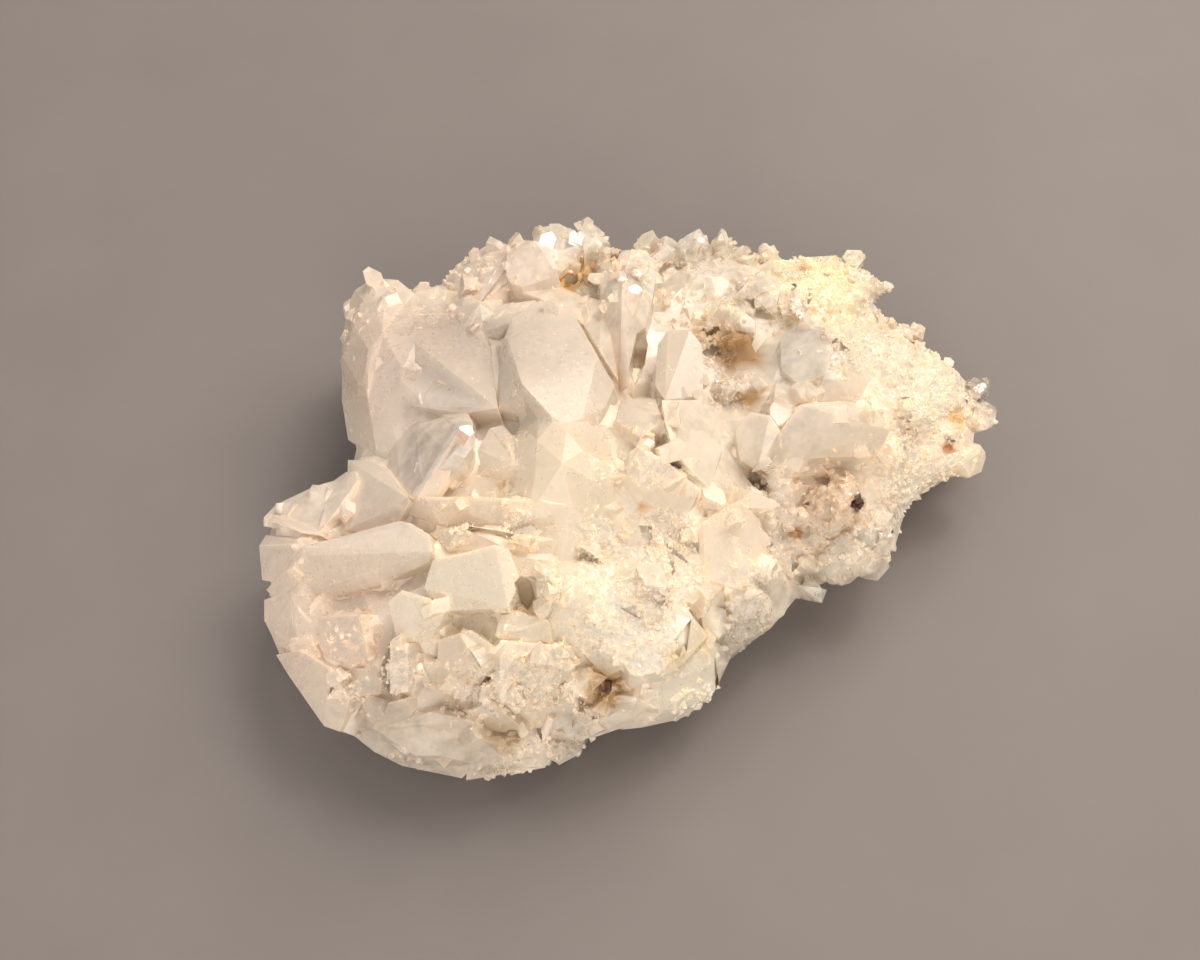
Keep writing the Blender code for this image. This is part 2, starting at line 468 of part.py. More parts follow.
def inside_rim(x, y, share=1.0):
    """True if (x, y) lies within the rim's outline, shrunk to `share`."""
    px = CENTRE[0] + (x - CENTRE[0]) / share
    py = CENTRE[1] + (y - CENTRE[1]) / share
    inside, n = False, len(RIM_POINTS)
    for i in range(n):
        x1, y1 = RIM_POINTS[i, :2]
        x2, y2 = RIM_POINTS[(i + 1) % n, :2]
        if (y1 > py) != (y2 > py) and px < (x2 - x1) * (py - y1) / (y2 - y1) + x1:
            inside = not inside
    return inside


def grown_crystals():
    """Smaller crystals and chips that fill in between, in low relief and at all leans."""
    rng = random.Random(SEED + 7)
    made, taken = [], []
    for _ in range(1500):
        uu, vv = rng.uniform(262, 985), rng.uniform(250, 775)
        size = rng.choice([4.0, 5.0, 6.0, 7.5, 9.5]) * rng.uniform(0.9, 1.15)
        lean, spin, roll = rng.uniform(0.1, 1.3), rng.uniform(-1.4, 1.4), rng.uniform(0, 60)
        flat, rise = rng.uniform(0.6, 1.0), rng.uniform(0.1, 0.42)
        kind = rng.choice(["point", "lump", "blunt", "lump"])
        if len(made) >= MOST_GROWN:
            break
        if any(math.hypot(uu - a, vv - b) < r for a, b, r in KEEP_CLEAR):
            continue
        foot = place(uu, vv, 0.0)
        if not inside_rim(foot[0], foot[1], 0.93):
            continue
        if any(math.hypot(foot[0] - x, foot[1] - y) < (size + s) * 0.40 for x, y, s in taken):
            continue
        taken.append((foot[0], foot[1], size))
        out = math.atan2(foot[1] - CENTRE[1], foot[0] - CENTRE[0]) + spin
        axis = unit([math.cos(out) * lean, math.sin(out) * lean, 1.0])
        if kind == "lump":
            middle = foot + np.array([0, 0, (rise - 0.25) * size])
            radii = (size * 0.62, size * 0.62 * flat, size * 0.5)
            made.append(lump_points(middle, radii, roll * 3, 13, 500 + len(made), 0.25))
        else:
            tip = foot + axis * (1.2 + size * rise)
            made.append(crystal_points(foot - axis * 6.0, tip, size, flat, roll, kind, 500 + len(made)))
    return made


def side_crystals():
    """Crystals and chips on the flanks, all round, in two uneven rows."""
    rng = random.Random(SEED + 11)
    made = []
    n = len(RIM_POINTS)
    for row, (share, level, low, high) in enumerate(((0.95, 0.88, 4.0, 8.0), (0.90, 0.45, 6.0, 13.0))):
        for i in range(row, n, 2):
            p = RIM_POINTS[i]
            a, b = RIM_POINTS[i - 1], RIM_POINTS[(i + 1) % n]
            along = unit([b[0] - a[0], b[1] - a[1], 0.0])
            out = np.array([-along[1], along[0], 0.0])
            if out[:2] @ (p[:2] - CENTRE) < 0:
                out = -out
            size = rng.uniform(low, high)
            climb = rng.uniform(0.05, 0.6) if row == 0 else rng.uniform(-0.15, 0.3)
            yaw = rng.uniform(-0.5, 0.5)
            axis = unit(out + along * yaw + np.array([0, 0, climb]))
            foot = np.array([
                CENTRE[0] + (p[0] - CENTRE[0]) * share,
                CENTRE[1] + (p[1] - CENTRE[1]) * share,
                p[2] * level + rng.uniform(-1.0, 1.0),
            ])
            reach = rng.uniform(0.4, 1.9) if row == 0 else rng.uniform(1.6, 4.2)
            if out[1] > -0.3 and (row == 1 or out[1] > 0.2):
                # the broken back: big flat chips instead of crystals
                sunk = rng.uniform(2.0, 4.5) if row == 1 else rng.uniform(4.5, 6.5)
                middle = foot - out * sunk + np.array([0, 0, rng.uniform(-2.0, 4.0) * row - 2.0])
                radii = (rng.uniform(6, 12), rng.uniform(5, 9), rng.uniform(6, 12) - 2 * (1 - row))
                made.append(lump_points(middle, radii, rng.uniform(0, 180), 11, 900 + len(made), 0.38))
                continue
            made.append(crystal_points(foot - axis * 7.0, foot + axis * reach, size,
                                       rng.uniform(0.75, 1.0), rng.uniform(0, 60),
                                       rng.choice(["point", "blunt", "point"]), 900 + len(made)))
    return made


def block_points(depth, skirt, corners):
    """The corners of a block, and the same corners let down into the matrix.

    In the middle they go straight down; towards the rim they lean inwards, so
    that the flanks draw in to the foot.
    """
    top = np.array([place(u, v, rise) for u, v, rise in corners])
    middle = top.mean(axis=0)
    inwards = CENTRE - middle[:2]
    share = next((s / 20 for s in range(4, 24) if inside_rim(middle[0], middle[1], s / 20)), 1.2)
    lean = unit(inwards) * 1.6 * min(share, 1.05) ** 4
    down = unit([lean[0], lean[1], -1.0]) * depth
    low = (top - middle) * np.array([skirt, skirt, 0.6]) + middle + down
    return np.vstack([top, low])


def main():
    for old in list(bpy.data.objects):
        bpy.data.objects.remove(old)
    scene = bpy.context.scene
    grown = bpy.data.collections.new("grown_together")
    cuts = bpy.data.collections.new("cuts")
    scene.collection.children.link(grown)
    scene.collection.children.link(cuts)

    body = matrix_object()
    scene.collection.objects.link(body)

    solids = {}
    for name, (depth, skirt, corners) in BLOCKS.items():
        solids["b_" + name] = block_points(depth, skirt, corners)
    for i, (name, (root, tip, width, flat, roll, kind)) in enumerate(CRYSTALS.items()):
        solids["c_" + name] = crystal_points(place(*root), place(*tip), width, flat, roll, kind, i)
    for i, (name, (centre, radii, turn, faces, rough)) in enumerate(LUMPS.items()):
        solids["l_" + name] = lump_points(place(*centre), radii, turn, faces, i, rough)
    for i, points in enumerate(grown_crystals()):
        solids[f"g_{i:03d}"] = points
    for i, points in enumerate(side_crystals()):
        solids[f"s_{i:03d}"] = points
    helpers = [hull_object(name, points) for name, points in solids.items()]
    for obj in helpers:
        grown.objects.link(obj)

    cutters = []
    for i, (name, (mouth, bottom, (wide, long), turn)) in enumerate(CAVITIES.items()):
        rng = random.Random(SEED + 40 + i)
        top, low = place(*mouth), place(*bottom)
        axis = unit(top - low)
        axes = frame_of(axis, math.radians(turn))
        height = float(np.linalg.norm(top - low))
        points = []
        for k in range(6):
            a = math.radians(60 * k + 30) + rng.uniform(-0.15, 0.15)
            for h, s in ((0.0, 0.35), (height, 1.0)):
                points.append([math.cos(a) * wide / 2 * s, math.sin(a) * long / 2 * s, h])
        cutters.append(hull_object("cut_" + name, np.array(points) @ axes.T + low))
    foot = hull_object("cut_table", [
        (x, y, z) for x in (-140, 140) for y in (-140, 140) for z in (-60, 0)
    ])
    cutters.append(foot)
    for obj in cutters:
        cuts.objects.link(obj)
    for obj in helpers + cutters:
        obj.hide_render = True
        obj.display_type = "WIRE"

    union = body.modifiers.new("grow", "BOOLEAN")
    union.operation, union.solver = "UNION", "EXACT"
    union.operand_type, union.collection = "COLLECTION", grown
    for obj in cutters:
        cut = body.modifiers.new(obj.name, "BOOLEAN")
        cut.operation, cut.solver = "DIFFERENCE", "EXACT"
        cut.operand_type, cut.object = "OBJECT", obj
    # takes out the slivers where faces nearly line up
    thin = body.modifiers.new("slivers", "DECIMATE")
    thin.decimate_type, thin.ratio = "COLLAPSE", SLIVER_RATIO

    # One solid, centred over its foot.
    bpy.context.view_layer.update()
    graph = bpy.context.evaluated_depsgraph_get()
    made = bpy.data.meshes.new_from_object(body.evaluated_get(graph), depsgraph=graph)
    body.modifiers.clear()
    body.data = made
    made.name = NODE
    for obj in helpers + cutters:
        bpy.data.objects.remove(obj)
    bm = bmesh.new()
    bm.from_mesh(made)
    bmesh.ops.remove_doubles(bm, verts=bm.verts, dist=0.00004)
    bmesh.ops.dissolve_degenerate(bm, dist=0.00004, edges=bm.edges)
    bmesh.ops.triangulate(bm, faces=bm.faces)
    # keep the one body that stands on the table, not chips that lie inside hollows
    seen, groups = set(), []
    for v in bm.verts:
        if v in seen:
            continue
        stack, group = [v], []
        seen.add(v)
        while stack:
            w = stack.pop()
            group.append(w)
            for e in w.link_edges:
                o = e.other_vert(w)
                if o not in seen:
                    seen.add(o)
                    stack.append(o)
        groups.append(group)
    groups.sort(key=len)
    for group in groups[:-1]:
        bmesh.ops.delete(bm, geom=group, context="VERTS")
    low = Vector([min(v.co[k] for v in bm.verts) for k in range(3)])
    high = Vector([max(v.co[k] for v in bm.verts) for k in range(3)])
    shift = Vector((-(low.x + high.x) / 2, -(low.y + high.y) / 2, -low.z))
    bmesh.ops.translate(bm, verts=bm.verts, vec=shift)
    for v in bm.verts:
        if v.co.z < 0.00002:
            v.co.z = 0.0
    bm.to_mesh(made)
    bm.free()
    print("bodies", len(groups), "moved by (mm)", [round(c * 1000, 3) for c in shift],
          "size (mm)", [round(c * 1000, 2) for c in high - low],
          "triangles", len(made.polygons))

    quartz = bpy.data.materials.new("quartz")
    quartz.use_nodes = True
    shader = next(n for n in quartz.node_tree.nodes if n.type == "BSDF_PRINCIPLED")
    shader.inputs["Base Color"].default_value = (0.90, 0.80, 0.70, 1.0)
    shader.inputs["Roughness"].default_value = 0.18
    shader.inputs["Metallic"].default_value = 0.0
    shader.inputs["IOR"].default_value = 1.544
    made.materials.clear()
    made.materials.append(quartz)


main()
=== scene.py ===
"""Clear quartz cluster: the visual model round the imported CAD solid.

Small closed crystals are united with the CAD solid as one skin: stubby ones
first, then the druse.  The skin is split finely, rounded where the quartz is a
smooth milky mass, and given growth relief.  A milky surface lies sealed below
it.  Places are set out on the 1200 x 960 frame and found on the solid by a ray
from the camera, so each crystal stands on the surface that carries it.
"""
import itertools
import json
import math

import bmesh
import bpy
import numpy as np
from mathutils import Matrix, Vector, noise
from mathutils.bvhtree import BVHTree
from mathutils.kdtree import KDTree

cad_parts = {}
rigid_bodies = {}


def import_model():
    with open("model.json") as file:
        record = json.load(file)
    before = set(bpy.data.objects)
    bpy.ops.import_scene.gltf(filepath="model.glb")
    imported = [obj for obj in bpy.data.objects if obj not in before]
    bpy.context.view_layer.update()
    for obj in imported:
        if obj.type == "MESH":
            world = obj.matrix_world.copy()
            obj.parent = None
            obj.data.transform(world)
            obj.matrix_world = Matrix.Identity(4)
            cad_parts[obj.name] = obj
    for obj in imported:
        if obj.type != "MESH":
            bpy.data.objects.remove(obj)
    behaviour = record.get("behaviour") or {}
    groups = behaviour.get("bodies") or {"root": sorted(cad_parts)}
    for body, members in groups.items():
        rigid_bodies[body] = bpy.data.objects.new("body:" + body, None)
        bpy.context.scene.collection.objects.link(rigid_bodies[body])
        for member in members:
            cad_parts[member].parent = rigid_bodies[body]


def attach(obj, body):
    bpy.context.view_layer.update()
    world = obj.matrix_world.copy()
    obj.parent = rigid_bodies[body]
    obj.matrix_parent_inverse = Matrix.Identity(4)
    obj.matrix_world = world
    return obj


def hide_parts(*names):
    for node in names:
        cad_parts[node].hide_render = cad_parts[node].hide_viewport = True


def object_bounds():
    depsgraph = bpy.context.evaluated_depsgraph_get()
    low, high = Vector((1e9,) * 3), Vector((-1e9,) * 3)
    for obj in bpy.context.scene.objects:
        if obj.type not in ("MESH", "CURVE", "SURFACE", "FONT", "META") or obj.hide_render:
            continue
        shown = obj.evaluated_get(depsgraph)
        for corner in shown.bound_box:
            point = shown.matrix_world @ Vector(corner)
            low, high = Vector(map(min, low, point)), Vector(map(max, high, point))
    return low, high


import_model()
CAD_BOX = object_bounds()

scene = bpy.context.scene
NODE = "quartz_cluster"
MM = 0.001

# ------------------------------------------------------------------ camera
SHIFT = Vector((-8.301, -4.514, 0.0)) * MM        # the CAD's own centring move
ELEVATION = math.radians(58.0)
DISTANCE = 0.340
LENS, SENSOR = 50.0, 36.0
AIM = Vector((0.0, 0.0, 0.025)) + SHIFT
FORWARD = Vector((0.0, math.cos(ELEVATION), -math.sin(ELEVATION)))
RIGHT = Vector((1.0, 0.0, 0.0))
UP = RIGHT.cross(FORWARD)
EYE = AIM - FORWARD * DISTANCE
FOCAL = LENS / SENSOR * 1200.0

camera = bpy.data.cameras.new("camera")
camera.lens, camera.sensor_width = LENS, SENSOR
camera.clip_start, camera.clip_end = 0.01, 20.0
camera_object = bpy.data.objects.new("camera", camera)
scene.collection.objects.link(camera_object)
camera_object.location = EYE
camera_object.rotation_euler = FORWARD.to_track_quat("-Z", "Y").to_euler()
scene.camera = camera_object

WINDOW = Vector((0.46, 0.52, 1.02))               # a small bright lamp; some faces are turned to it

# ------------------------------------------------------------------ the CAD solid
cad = bpy.data.objects[NODE]
base = bmesh.new()
base.from_mesh(cad.data)
bmesh.ops.remove_doubles(base, verts=base.verts, dist=1e-6)
bmesh.ops.triangulate(base, faces=base.faces)
bmesh.ops.recalc_face_normals(base, faces=base.faces)
tree = BVHTree.FromBMesh(base)
CENTRE = Vector((0.0, 0.0, 0.018))


def hit(u, v):
    """The point of the solid seen at (u, v), and its normal."""
    ray = (FORWARD * FOCAL + RIGHT * (u - 600.0) + UP * (480.0 - v)).normalized()
    place, normal, _, _ = tree.ray_cast(EYE, ray)
    if place is None:
        # just off the outline: the nearest point to the ray at the object's distance
        near = EYE + ray * DISTANCE
        place, normal, _, _ = tree.find_nearest(near)
    return place, normal


# ------------------------------------------------------------------ zones
# u, v, radius mm, milkiness 0-1, tint: the quartz's colour there, and in the marked rows also painted light and shade
ZONES = [
    # the tint at 440,352 is darkened: painted shade on a face the lamps light
    (372, 350, 13, 0.85, (0.83, 0.71, 0.67)), (440, 352, 11, 0.80, (0.40, 0.33, 0.31)),
    (418, 402, 5, 0.30, (0.86, 0.74, 0.72)), (480, 270, 8, 0.35, (0.98, 0.86, 0.80)),
    (532, 262, 7, 0.50, (0.97, 0.84, 0.76)), (558, 240, 6, 0.35, (1.00, 0.95, 0.90)),
    (592, 240, 6, 0.35, (1.00, 0.95, 0.90)), (625, 290, 9, 0.50, (0.99, 0.90, 0.81)),
    (550, 360, 13, 0.75, (0.70, 0.62, 0.58)), (508, 380, 5, 0.50, (0.86, 0.78, 0.68)),
    (465, 445, 4, 0.00, (0.96, 0.96, 0.98)), (425, 455, 8, 0.35, (0.90, 0.80, 0.76)),
    (575, 470, 13, 0.97, (0.96, 0.89, 0.80)), (480, 510, 10, 0.80, (0.98, 0.88, 0.78)),
    (300, 510, 9, 0.40, (0.90, 0.81, 0.78)), (272, 503, 4, 1.00, (0.80, 0.70, 0.66)), (330, 560, 14, 0.80, (0.94, 0.83, 0.79)),
    (402, 548, 5, 0.35, (0.95, 0.88, 0.84)), (470, 580, 10, 0.90, (1.00, 0.98, 0.93)),
    (300, 640, 12, 0.85, (0.96, 0.85, 0.81)), (342, 640, 6, 0.90, (0.98, 0.86, 0.82)),
    # the tint at 420,750 is darkened: painted shade on the shaded front below
    (500, 680, 14, 0.75, (0.95, 0.87, 0.78)), (420, 750, 12, 0.45, (0.72, 0.62, 0.53)),
    # the tints at 615,715 and 690,680 are lightened: painted light on faces turned down and away from the lamps
    (615, 715, 8, 0.60, (1.00, 0.92, 0.84)), (690, 680, 9, 0.85, (1.00, 1.00, 0.96)),
    (668, 560, 8, 0.80, (1.00, 0.91, 0.80)), (590, 600, 12, 0.85, (1.00, 0.95, 0.86)),
    (735, 540, 10, 0.80, (1.00, 0.91, 0.81)), (655, 470, 8, 0.60, (1.00, 0.90, 0.78)),
    (690, 440, 8, 0.60, (1.00, 0.92, 0.84)), (778, 405, 4, 1.00, (0.70, 0.61, 0.54)), (676, 352, 6, 0.85, (0.66, 0.57, 0.51)),
    (830, 430, 10, 0.60, (1.00, 0.92, 0.86)), (757, 440, 6, 0.50, (1.00, 0.94, 0.88)),
    (810, 352, 8, 0.30, (0.86, 0.82, 0.78)), (710, 290, 12, 0.40, (1.00, 0.95, 0.87)),
    (825, 275, 12, 0.80, (1.00, 0.92, 0.77)), (920, 400, 18, 0.85, (1.00, 0.91, 0.79)),
    # the tints at 850,550 and 765,610 are lightened: painted light on faces turned away from the lamps
    (850, 550, 10, 0.40, (1.00, 0.94, 0.86)), (765, 610, 9, 0.40, (1.00, 0.95, 0.86)),
    (985, 390, 5, 0.00, (0.95, 0.93, 0.88)), (655, 243, 5, 0.30, (1.00, 0.98, 0.97)),
    (692, 238, 6, 0.30, (1.00, 0.99, 0.97)), (735, 250, 6, 0.35, (1.00, 0.98, 0.93)),
    (592, 226, 5, 0.30, (1.00, 0.97, 0.95)), (815, 592, 4, 0.00, (0.93, 0.90, 0.84)),
    (872, 570, 4, 0.00, (0.95, 0.91, 0.84)), (745, 630, 7, 0.15, (0.94, 0.88, 0.78)),
    (572, 285, 4, 0.00, (0.93, 0.86, 0.66)), (600, 725, 6, 0.20, (0.93, 0.87, 0.80)),
]
# u, v, radius mm, strength, colour: iron staining in the hollows, partly painted shade in the hollows, cracks and the
# recess, and painted shadow in the darkest rows
STAINS_AND_SHADE = [
    (738, 350, 6.4, 1.0, (0.40, 0.25, 0.13)), (714, 334, 6.5, 0.75, (0.60, 0.43, 0.29)),
    # 640,352: tan on a shaded wall, partly stain and partly painted shade
    (752, 400, 2.8, 0.95, (0.40, 0.25, 0.12)), (640, 352, 6.0, 0.80, (0.60, 0.43, 0.29)),
    (957, 420, 3.4, 0.75, (0.80, 0.54, 0.27)), (948, 448, 1.7, 1.0, (0.48, 0.20, 0.07)),
    # 840,490: brown of the recess, partly stain and partly painted shade
    (840, 490, 11.0, 0.60, (0.64, 0.46, 0.33)), (752, 484, 5.0, 0.70, (0.44, 0.32, 0.24)),
    # 524,592 and 604,688: brown of the hole and the crack, partly stain and partly painted shade
    (524, 592, 4.8, 1.00, (0.46, 0.30, 0.19)), (604, 688, 6.0, 0.85, (0.52, 0.35, 0.21)),
    (498, 730, 6.0, 0.75, (0.50, 0.38, 0.26)), (566, 282, 2.8, 0.95, (0.66, 0.38, 0.10)),
    (507, 484, 3.0, 1.0, (0.34, 0.19, 0.09)), (708, 640, 4.2, 0.65, (0.68, 0.54, 0.36)),
    (678, 660, 3.6, 0.65, (0.68, 0.54, 0.36)), (796, 533, 2.0, 0.90, (0.52, 0.30, 0.14)),
    # 860,503: near-black painted shadow in a gap
    (860, 503, 2.6, 1.0, (0.05, 0.008, 0.005)), (644, 508, 1.5, 0.95, (0.66, 0.34, 0.10)),
    (326, 532, 1.5, 0.60, (0.58, 0.50, 0.32)), (665, 390, 3.0, 0.55, (0.66, 0.50, 0.36)),
    # 607,684 and 580,702: dark painted shadow in the crack
    (607, 684, 2.0, 1.0, (0.16, 0.06, 0.03)), (580, 702, 1.3, 0.9, (0.22, 0.11, 0.06)),
    # 530,566 and 621,391: dark painted shadow in the hole and in the slot
    (530, 566, 1.5, 0.9, (0.30, 0.08, 0.05)), (621, 391, 1.2, 0.9, (0.30, 0.16, 0.09)),
    (812, 540, 7.0, 0.35, (0.74, 0.58, 0.45)), (610, 262, 3.0, 0.45, (0.80, 0.56, 0.32)), (584, 274, 4.2, 0.75, (0.78, 0.56, 0.30)),
    (390, 400, 3.5, 0.30, (0.92, 0.74, 0.50)), (835, 268, 5.0, 0.35, (0.92, 0.76, 0.48)),
]
# u, v, radius mm, crystals per mm2, smallest and largest width mm, lean
DRUSE = [
    (825, 275, 11, 0.9, 0.7, 1.5, 0.7), (870, 300, 8, 0.8, 0.7, 1.6, 0.7),
    (900, 350, 11, 0.7, 0.7, 1.7, 0.7), (930, 400, 12, 0.7, 0.7, 1.6, 0.7),
    (920, 450, 11, 0.7, 0.7, 1.6, 0.7), (900, 500, 10, 0.5, 0.9, 2.2, 0.8),
    (970, 400, 7, 0.6, 0.8, 2.0, 0.8),
    (668, 540, 6, 1.4, 0.55, 1.0, 0.9), (672, 580, 6, 1.4, 0.55, 1.0, 0.9),
    (600, 545, 7, 0.6, 0.6, 1.2, 0.9), (640, 610, 8, 0.7, 0.6, 1.3, 0.9),
    (600, 630, 7, 0.5, 0.6, 1.4, 0.9), (650, 640, 7, 0.7, 0.6, 1.3, 0.9),
    (540, 680, 9, 0.45, 0.8, 1.8, 0.9), (480, 690, 9, 0.40, 0.8, 1.8, 0.9),
    (395, 670, 5, 0.50, 0.8, 1.8, 0.8), (350, 690, 5, 0.30, 0.8, 1.6, 0.8),
    (340, 640, 4, 0.25, 0.6, 1.0, 0.8),
    (780, 540, 9, 0.30, 1.2, 2.8, 0.9), (830, 540, 9, 0.35, 1.2, 2.8, 0.9),
    (870, 530, 8, 0.40, 1.0, 2.4, 0.9), (840, 490, 8, 0.40, 0.9, 2.4, 1.0),
    (770, 490, 6, 0.45, 0.8, 2.0, 1.0), (760, 600, 8, 0.35, 1.0, 2.4, 0.9),
    (590, 290, 5, 0.35, 1.0, 2.6, 0.9), (700, 265, 7, 0.30, 1.2, 3.0, 0.8),
    (760, 290, 8, 0.22, 1.2, 3.0, 0.8), (715, 345, 6, 0.50, 0.8, 1.8, 1.0),
    (725, 385, 6, 0.40, 0.8, 2.0, 1.0), (800, 310, 6, 0.45, 0.8, 1.8, 0.9),
    (850, 350, 7, 0.50, 0.8, 1.8, 0.9), (460, 530, 3, 0.40, 0.8, 1.6, 0.8),
    (520, 528, 4, 0.50, 0.6, 1.2, 0.8), (600, 470, 3, 0.35, 0.5, 0.9, 0.7),
    (600, 700, 6, 0.35, 0.8, 2.0, 1.0), (520, 750, 6, 0.30, 0.9, 2.2, 0.9),
    (546, 580, 3, 0.50, 0.6, 1.3, 0.8), (650, 475, 5, 0.25, 0.5, 1.0, 0.8),
    (745, 625, 7, 0.45, 0.9, 2.2, 0.9), (700, 700, 6, 0.25, 0.9, 2.0, 0.9),
    (640, 728, 6, 0.30, 0.9, 2.2, 0.9), (570, 748, 6, 0.35, 0.9, 2.2, 0.9),
    (500, 772, 6, 0.35, 0.9, 2.2, 0.9), (420, 765, 6, 0.20, 0.9, 2.2, 0.9),
]


# u, v, radius mm, how far the edges there are rounded off: smooth milky masses
SOFT = [
    (368, 340, 13, 0.8), (372, 400, 11, 0.85), (442, 356, 14, 0.9), (442, 402, 9, 1.0), (492, 366, 8, 0.9), (572, 468, 16, 1.3), (540, 500, 8, 0.8), (640, 470, 8, 0.5),
    (562, 374, 12, 0.8), (300, 560, 9, 0.3), (690, 685, 9, 0.5), (830, 430, 8, 0.25),
    (668, 560, 9, 0.8), (825, 278, 11, 0.7), (905, 380, 13, 0.7), (925, 450, 10, 0.6),
    (470, 580, 7, 0.2), (600, 600, 8, 0.4),
]


def placed(table):
    """(centres, radii, rest) of a table whose rows start with u, v, radius."""
    centres = np.array([hit(row[0], row[1])[0] for row in table])
    radii = np.array([row[2] for row in table]) * MM
    return centres, radii, [row[3:] for row in table]


ZONE_AT, ZONE_R, ZONE_REST = placed(ZONES)
ZONE_MILK = np.array([r[0] for r in ZONE_REST])
ZONE_TINT = np.array([r[1] for r in ZONE_REST])
STAIN_SHADE_AT, STAIN_SHADE_R, STAIN_SHADE_REST = placed(STAINS_AND_SHADE)
DRUSE_AT, DRUSE_R, DRUSE_REST = placed(DRUSE)


def fields(points):
    """Milkiness, tint, and staining with painted shade (strength, colour) at these points."""
    milk = np.full(len(points), 0.6) * 0.08
    tint = np.tile(np.array([0.93, 0.85, 0.78]), (len(points), 1)) * 0.08
    total = np.full(len(points), 0.08)
    for at, r, m, t in zip(ZONE_AT, ZONE_R, ZONE_MILK, ZONE_TINT):
        w = np.exp(-1.6 * ((points - at) ** 2).sum(1) / r ** 2)
        milk += w * m
        tint += w[:, None] * t
        total += w
    milk, tint = milk / total, tint / total[:, None] * [1.0, 0.925, 0.80]
    stain_and_shade = np.zeros(len(points))
    colour = np.zeros((len(points), 3))
    # iron stains and painted shade in gaps, cracks and hollows; the strongest mark wins
    for at, r, (s, c) in zip(STAIN_SHADE_AT, STAIN_SHADE_R, STAIN_SHADE_REST):
        w = s * np.clip(2.6 * np.exp(-1.4 * ((points - at) ** 2).sum(1) / r ** 2) - 0.5, 0, 1)
        better = w > stain_and_shade
        stain_and_shade[better] = w[better]
        colour[better] = c
    return milk, tint, stain_and_shade, colour


def set_fields(mesh):
    """Stores the fields on the mesh's points for its material."""
    n = len(mesh.vertices)
    co = np.empty(n * 3, np.float32)
    mesh.vertices.foreach_get("co", co)
    co = co.reshape(-1, 3).astype(float)
    milk, tint, stain_and_shade, colour = fields(co)
    fine = np.clip(spread(DRUSE, co)[0] * 2.0, 0, 1)
    patchy = np.array([noise.noise(Vector(p) * 520.0) for p in co])
    stain_and_shade = np.clip(stain_and_shade * (1.05 + 0.4 * patchy), 0, 1)
    milk = milk * (1 - 0.22 * fine)
    tint = np.minimum(tint * (1 + fine[:, None] * [0.0, 0.04, 0.10]), 1.0)
    tint = (1 - (1 - tint) * (0.30 + 0.70 * milk[:, None])) * [1.0, 0.975, 0.93]
    # stains and painted shade replace the tint here
    mixed = tint * (1 - stain_and_shade[:, None]) + colour * [1.0, 0.97, 0.84] * stain_and_shade[:, None]
    a = mesh.attributes.new("fine", "FLOAT", "POINT")
    a.data.foreach_set("value", fine.astype(np.float32))
    a = mesh.attributes.new("milk", "FLOAT", "POINT")
    a.data.foreach_set("value", milk.astype(np.float32))
    a = mesh.attributes.new("stain_and_shade", "FLOAT", "POINT")
    a.data.foreach_set("value", stain_and_shade.astype(np.float32))
    a = mesh.attributes.new("tint", "FLOAT_COLOR", "POINT")
    a.data.foreach_set("color", np.column_stack([mixed, np.ones(n)]).astype(np.float32).ravel())


# ------------------------------------------------------------------ crystals
rng = np.random.default_rng(2945)
TRIOS = {}


def solid_from_planes(normals, offsets):
    """The corners of the convex solid n.x <= d."""
    n, d = np.asarray(normals, float), np.asarray(offsets, float)
    if len(d) not in TRIOS:
        TRIOS[len(d)] = np.array(list(itertools.combinations(range(len(d)), 3)))
    trios = TRIOS[len(d)]
    a, b = n[trios], d[trios]
    good = np.abs(np.linalg.det(a)) > 1e-4
    points = np.linalg.solve(a[good], b[good][..., None])[..., 0]
    points = points[(points @ n.T <= d + 1e-6).all(axis=1)]
    _, first = np.unique(np.round(points, 3), axis=0, return_index=True)
    return points[first]


def hull(points):
    """Corners and outward triangles of the convex solid round these points."""
    bm = bmesh.new()
    for p in points:
        bm.verts.new(p)
    made = bmesh.ops.convex_hull(bm, input=bm.verts)
    loose = [v for v in made["geom_interior"] if isinstance(v, bmesh.types.BMVert)]
    bmesh.ops.delete(bm, geom=loose, context="VERTS")
    bmesh.ops.triangulate(bm, faces=bm.faces)
    bmesh.ops.recalc_face_normals(bm, faces=bm.faces)
    bm.verts.index_update()
    verts = np.array([v.co for v in bm.verts])
    faces = np.array([[v.index for v in f.verts] for f in bm.faces])
    bm.free()
    return verts, faces


def crystal_template(seed, kind):
    """A closed quartz crystal one unit wide, its point at z = 0 and its root at z = -2.4."""
    r = np.random.default_rng(seed)
    normals, offsets = [], []
    for k in range(6):
        a = math.radians(60 * k + r.uniform(-3, 3))
        taper = math.radians(r.uniform(1, 6))
        n = [math.cos(a) * math.cos(taper), math.sin(a) * math.cos(taper), math.sin(taper)]
        normals.append(n)
        offsets.append(0.5 * r.uniform(0.72, 1.08) + n[2] * -1.0)
    if kind == "point":
        big = r.integers(0, 2)
        for k in range(6):
            a = math.radians(60 * k + r.uniform(-3, 3))
            t = math.radians(51.8 + r.uniform(-4, 4))
            normals.append([math.cos(a) * math.sin(t), math.sin(a) * math.sin(t), math.cos(t)])
            offsets.append(-(r.uniform(0.02, 0.20) if k % 2 == big else r.uniform(0.0, 0.05)))
    else:  # broken: odd faces at odd slopes
        for k in range(5):
            a, t = r.uniform(0, math.tau), math.radians(r.uniform(10, 60))
            normals.append([math.cos(a) * math.sin(t), math.sin(a) * math.sin(t), math.cos(t)])
            offsets.append(-0.5 * math.cos(t) + 0.42 * math.sin(t) * r.uniform(0.2, 1.0))
        normals.append([0.0, 0.0, 1.0])
        offsets.append(-0.2)
    normals.append([0.0, 0.0, -1.0])
    offsets.append(2.4)
    return hull(solid_from_planes(normals, offsets))


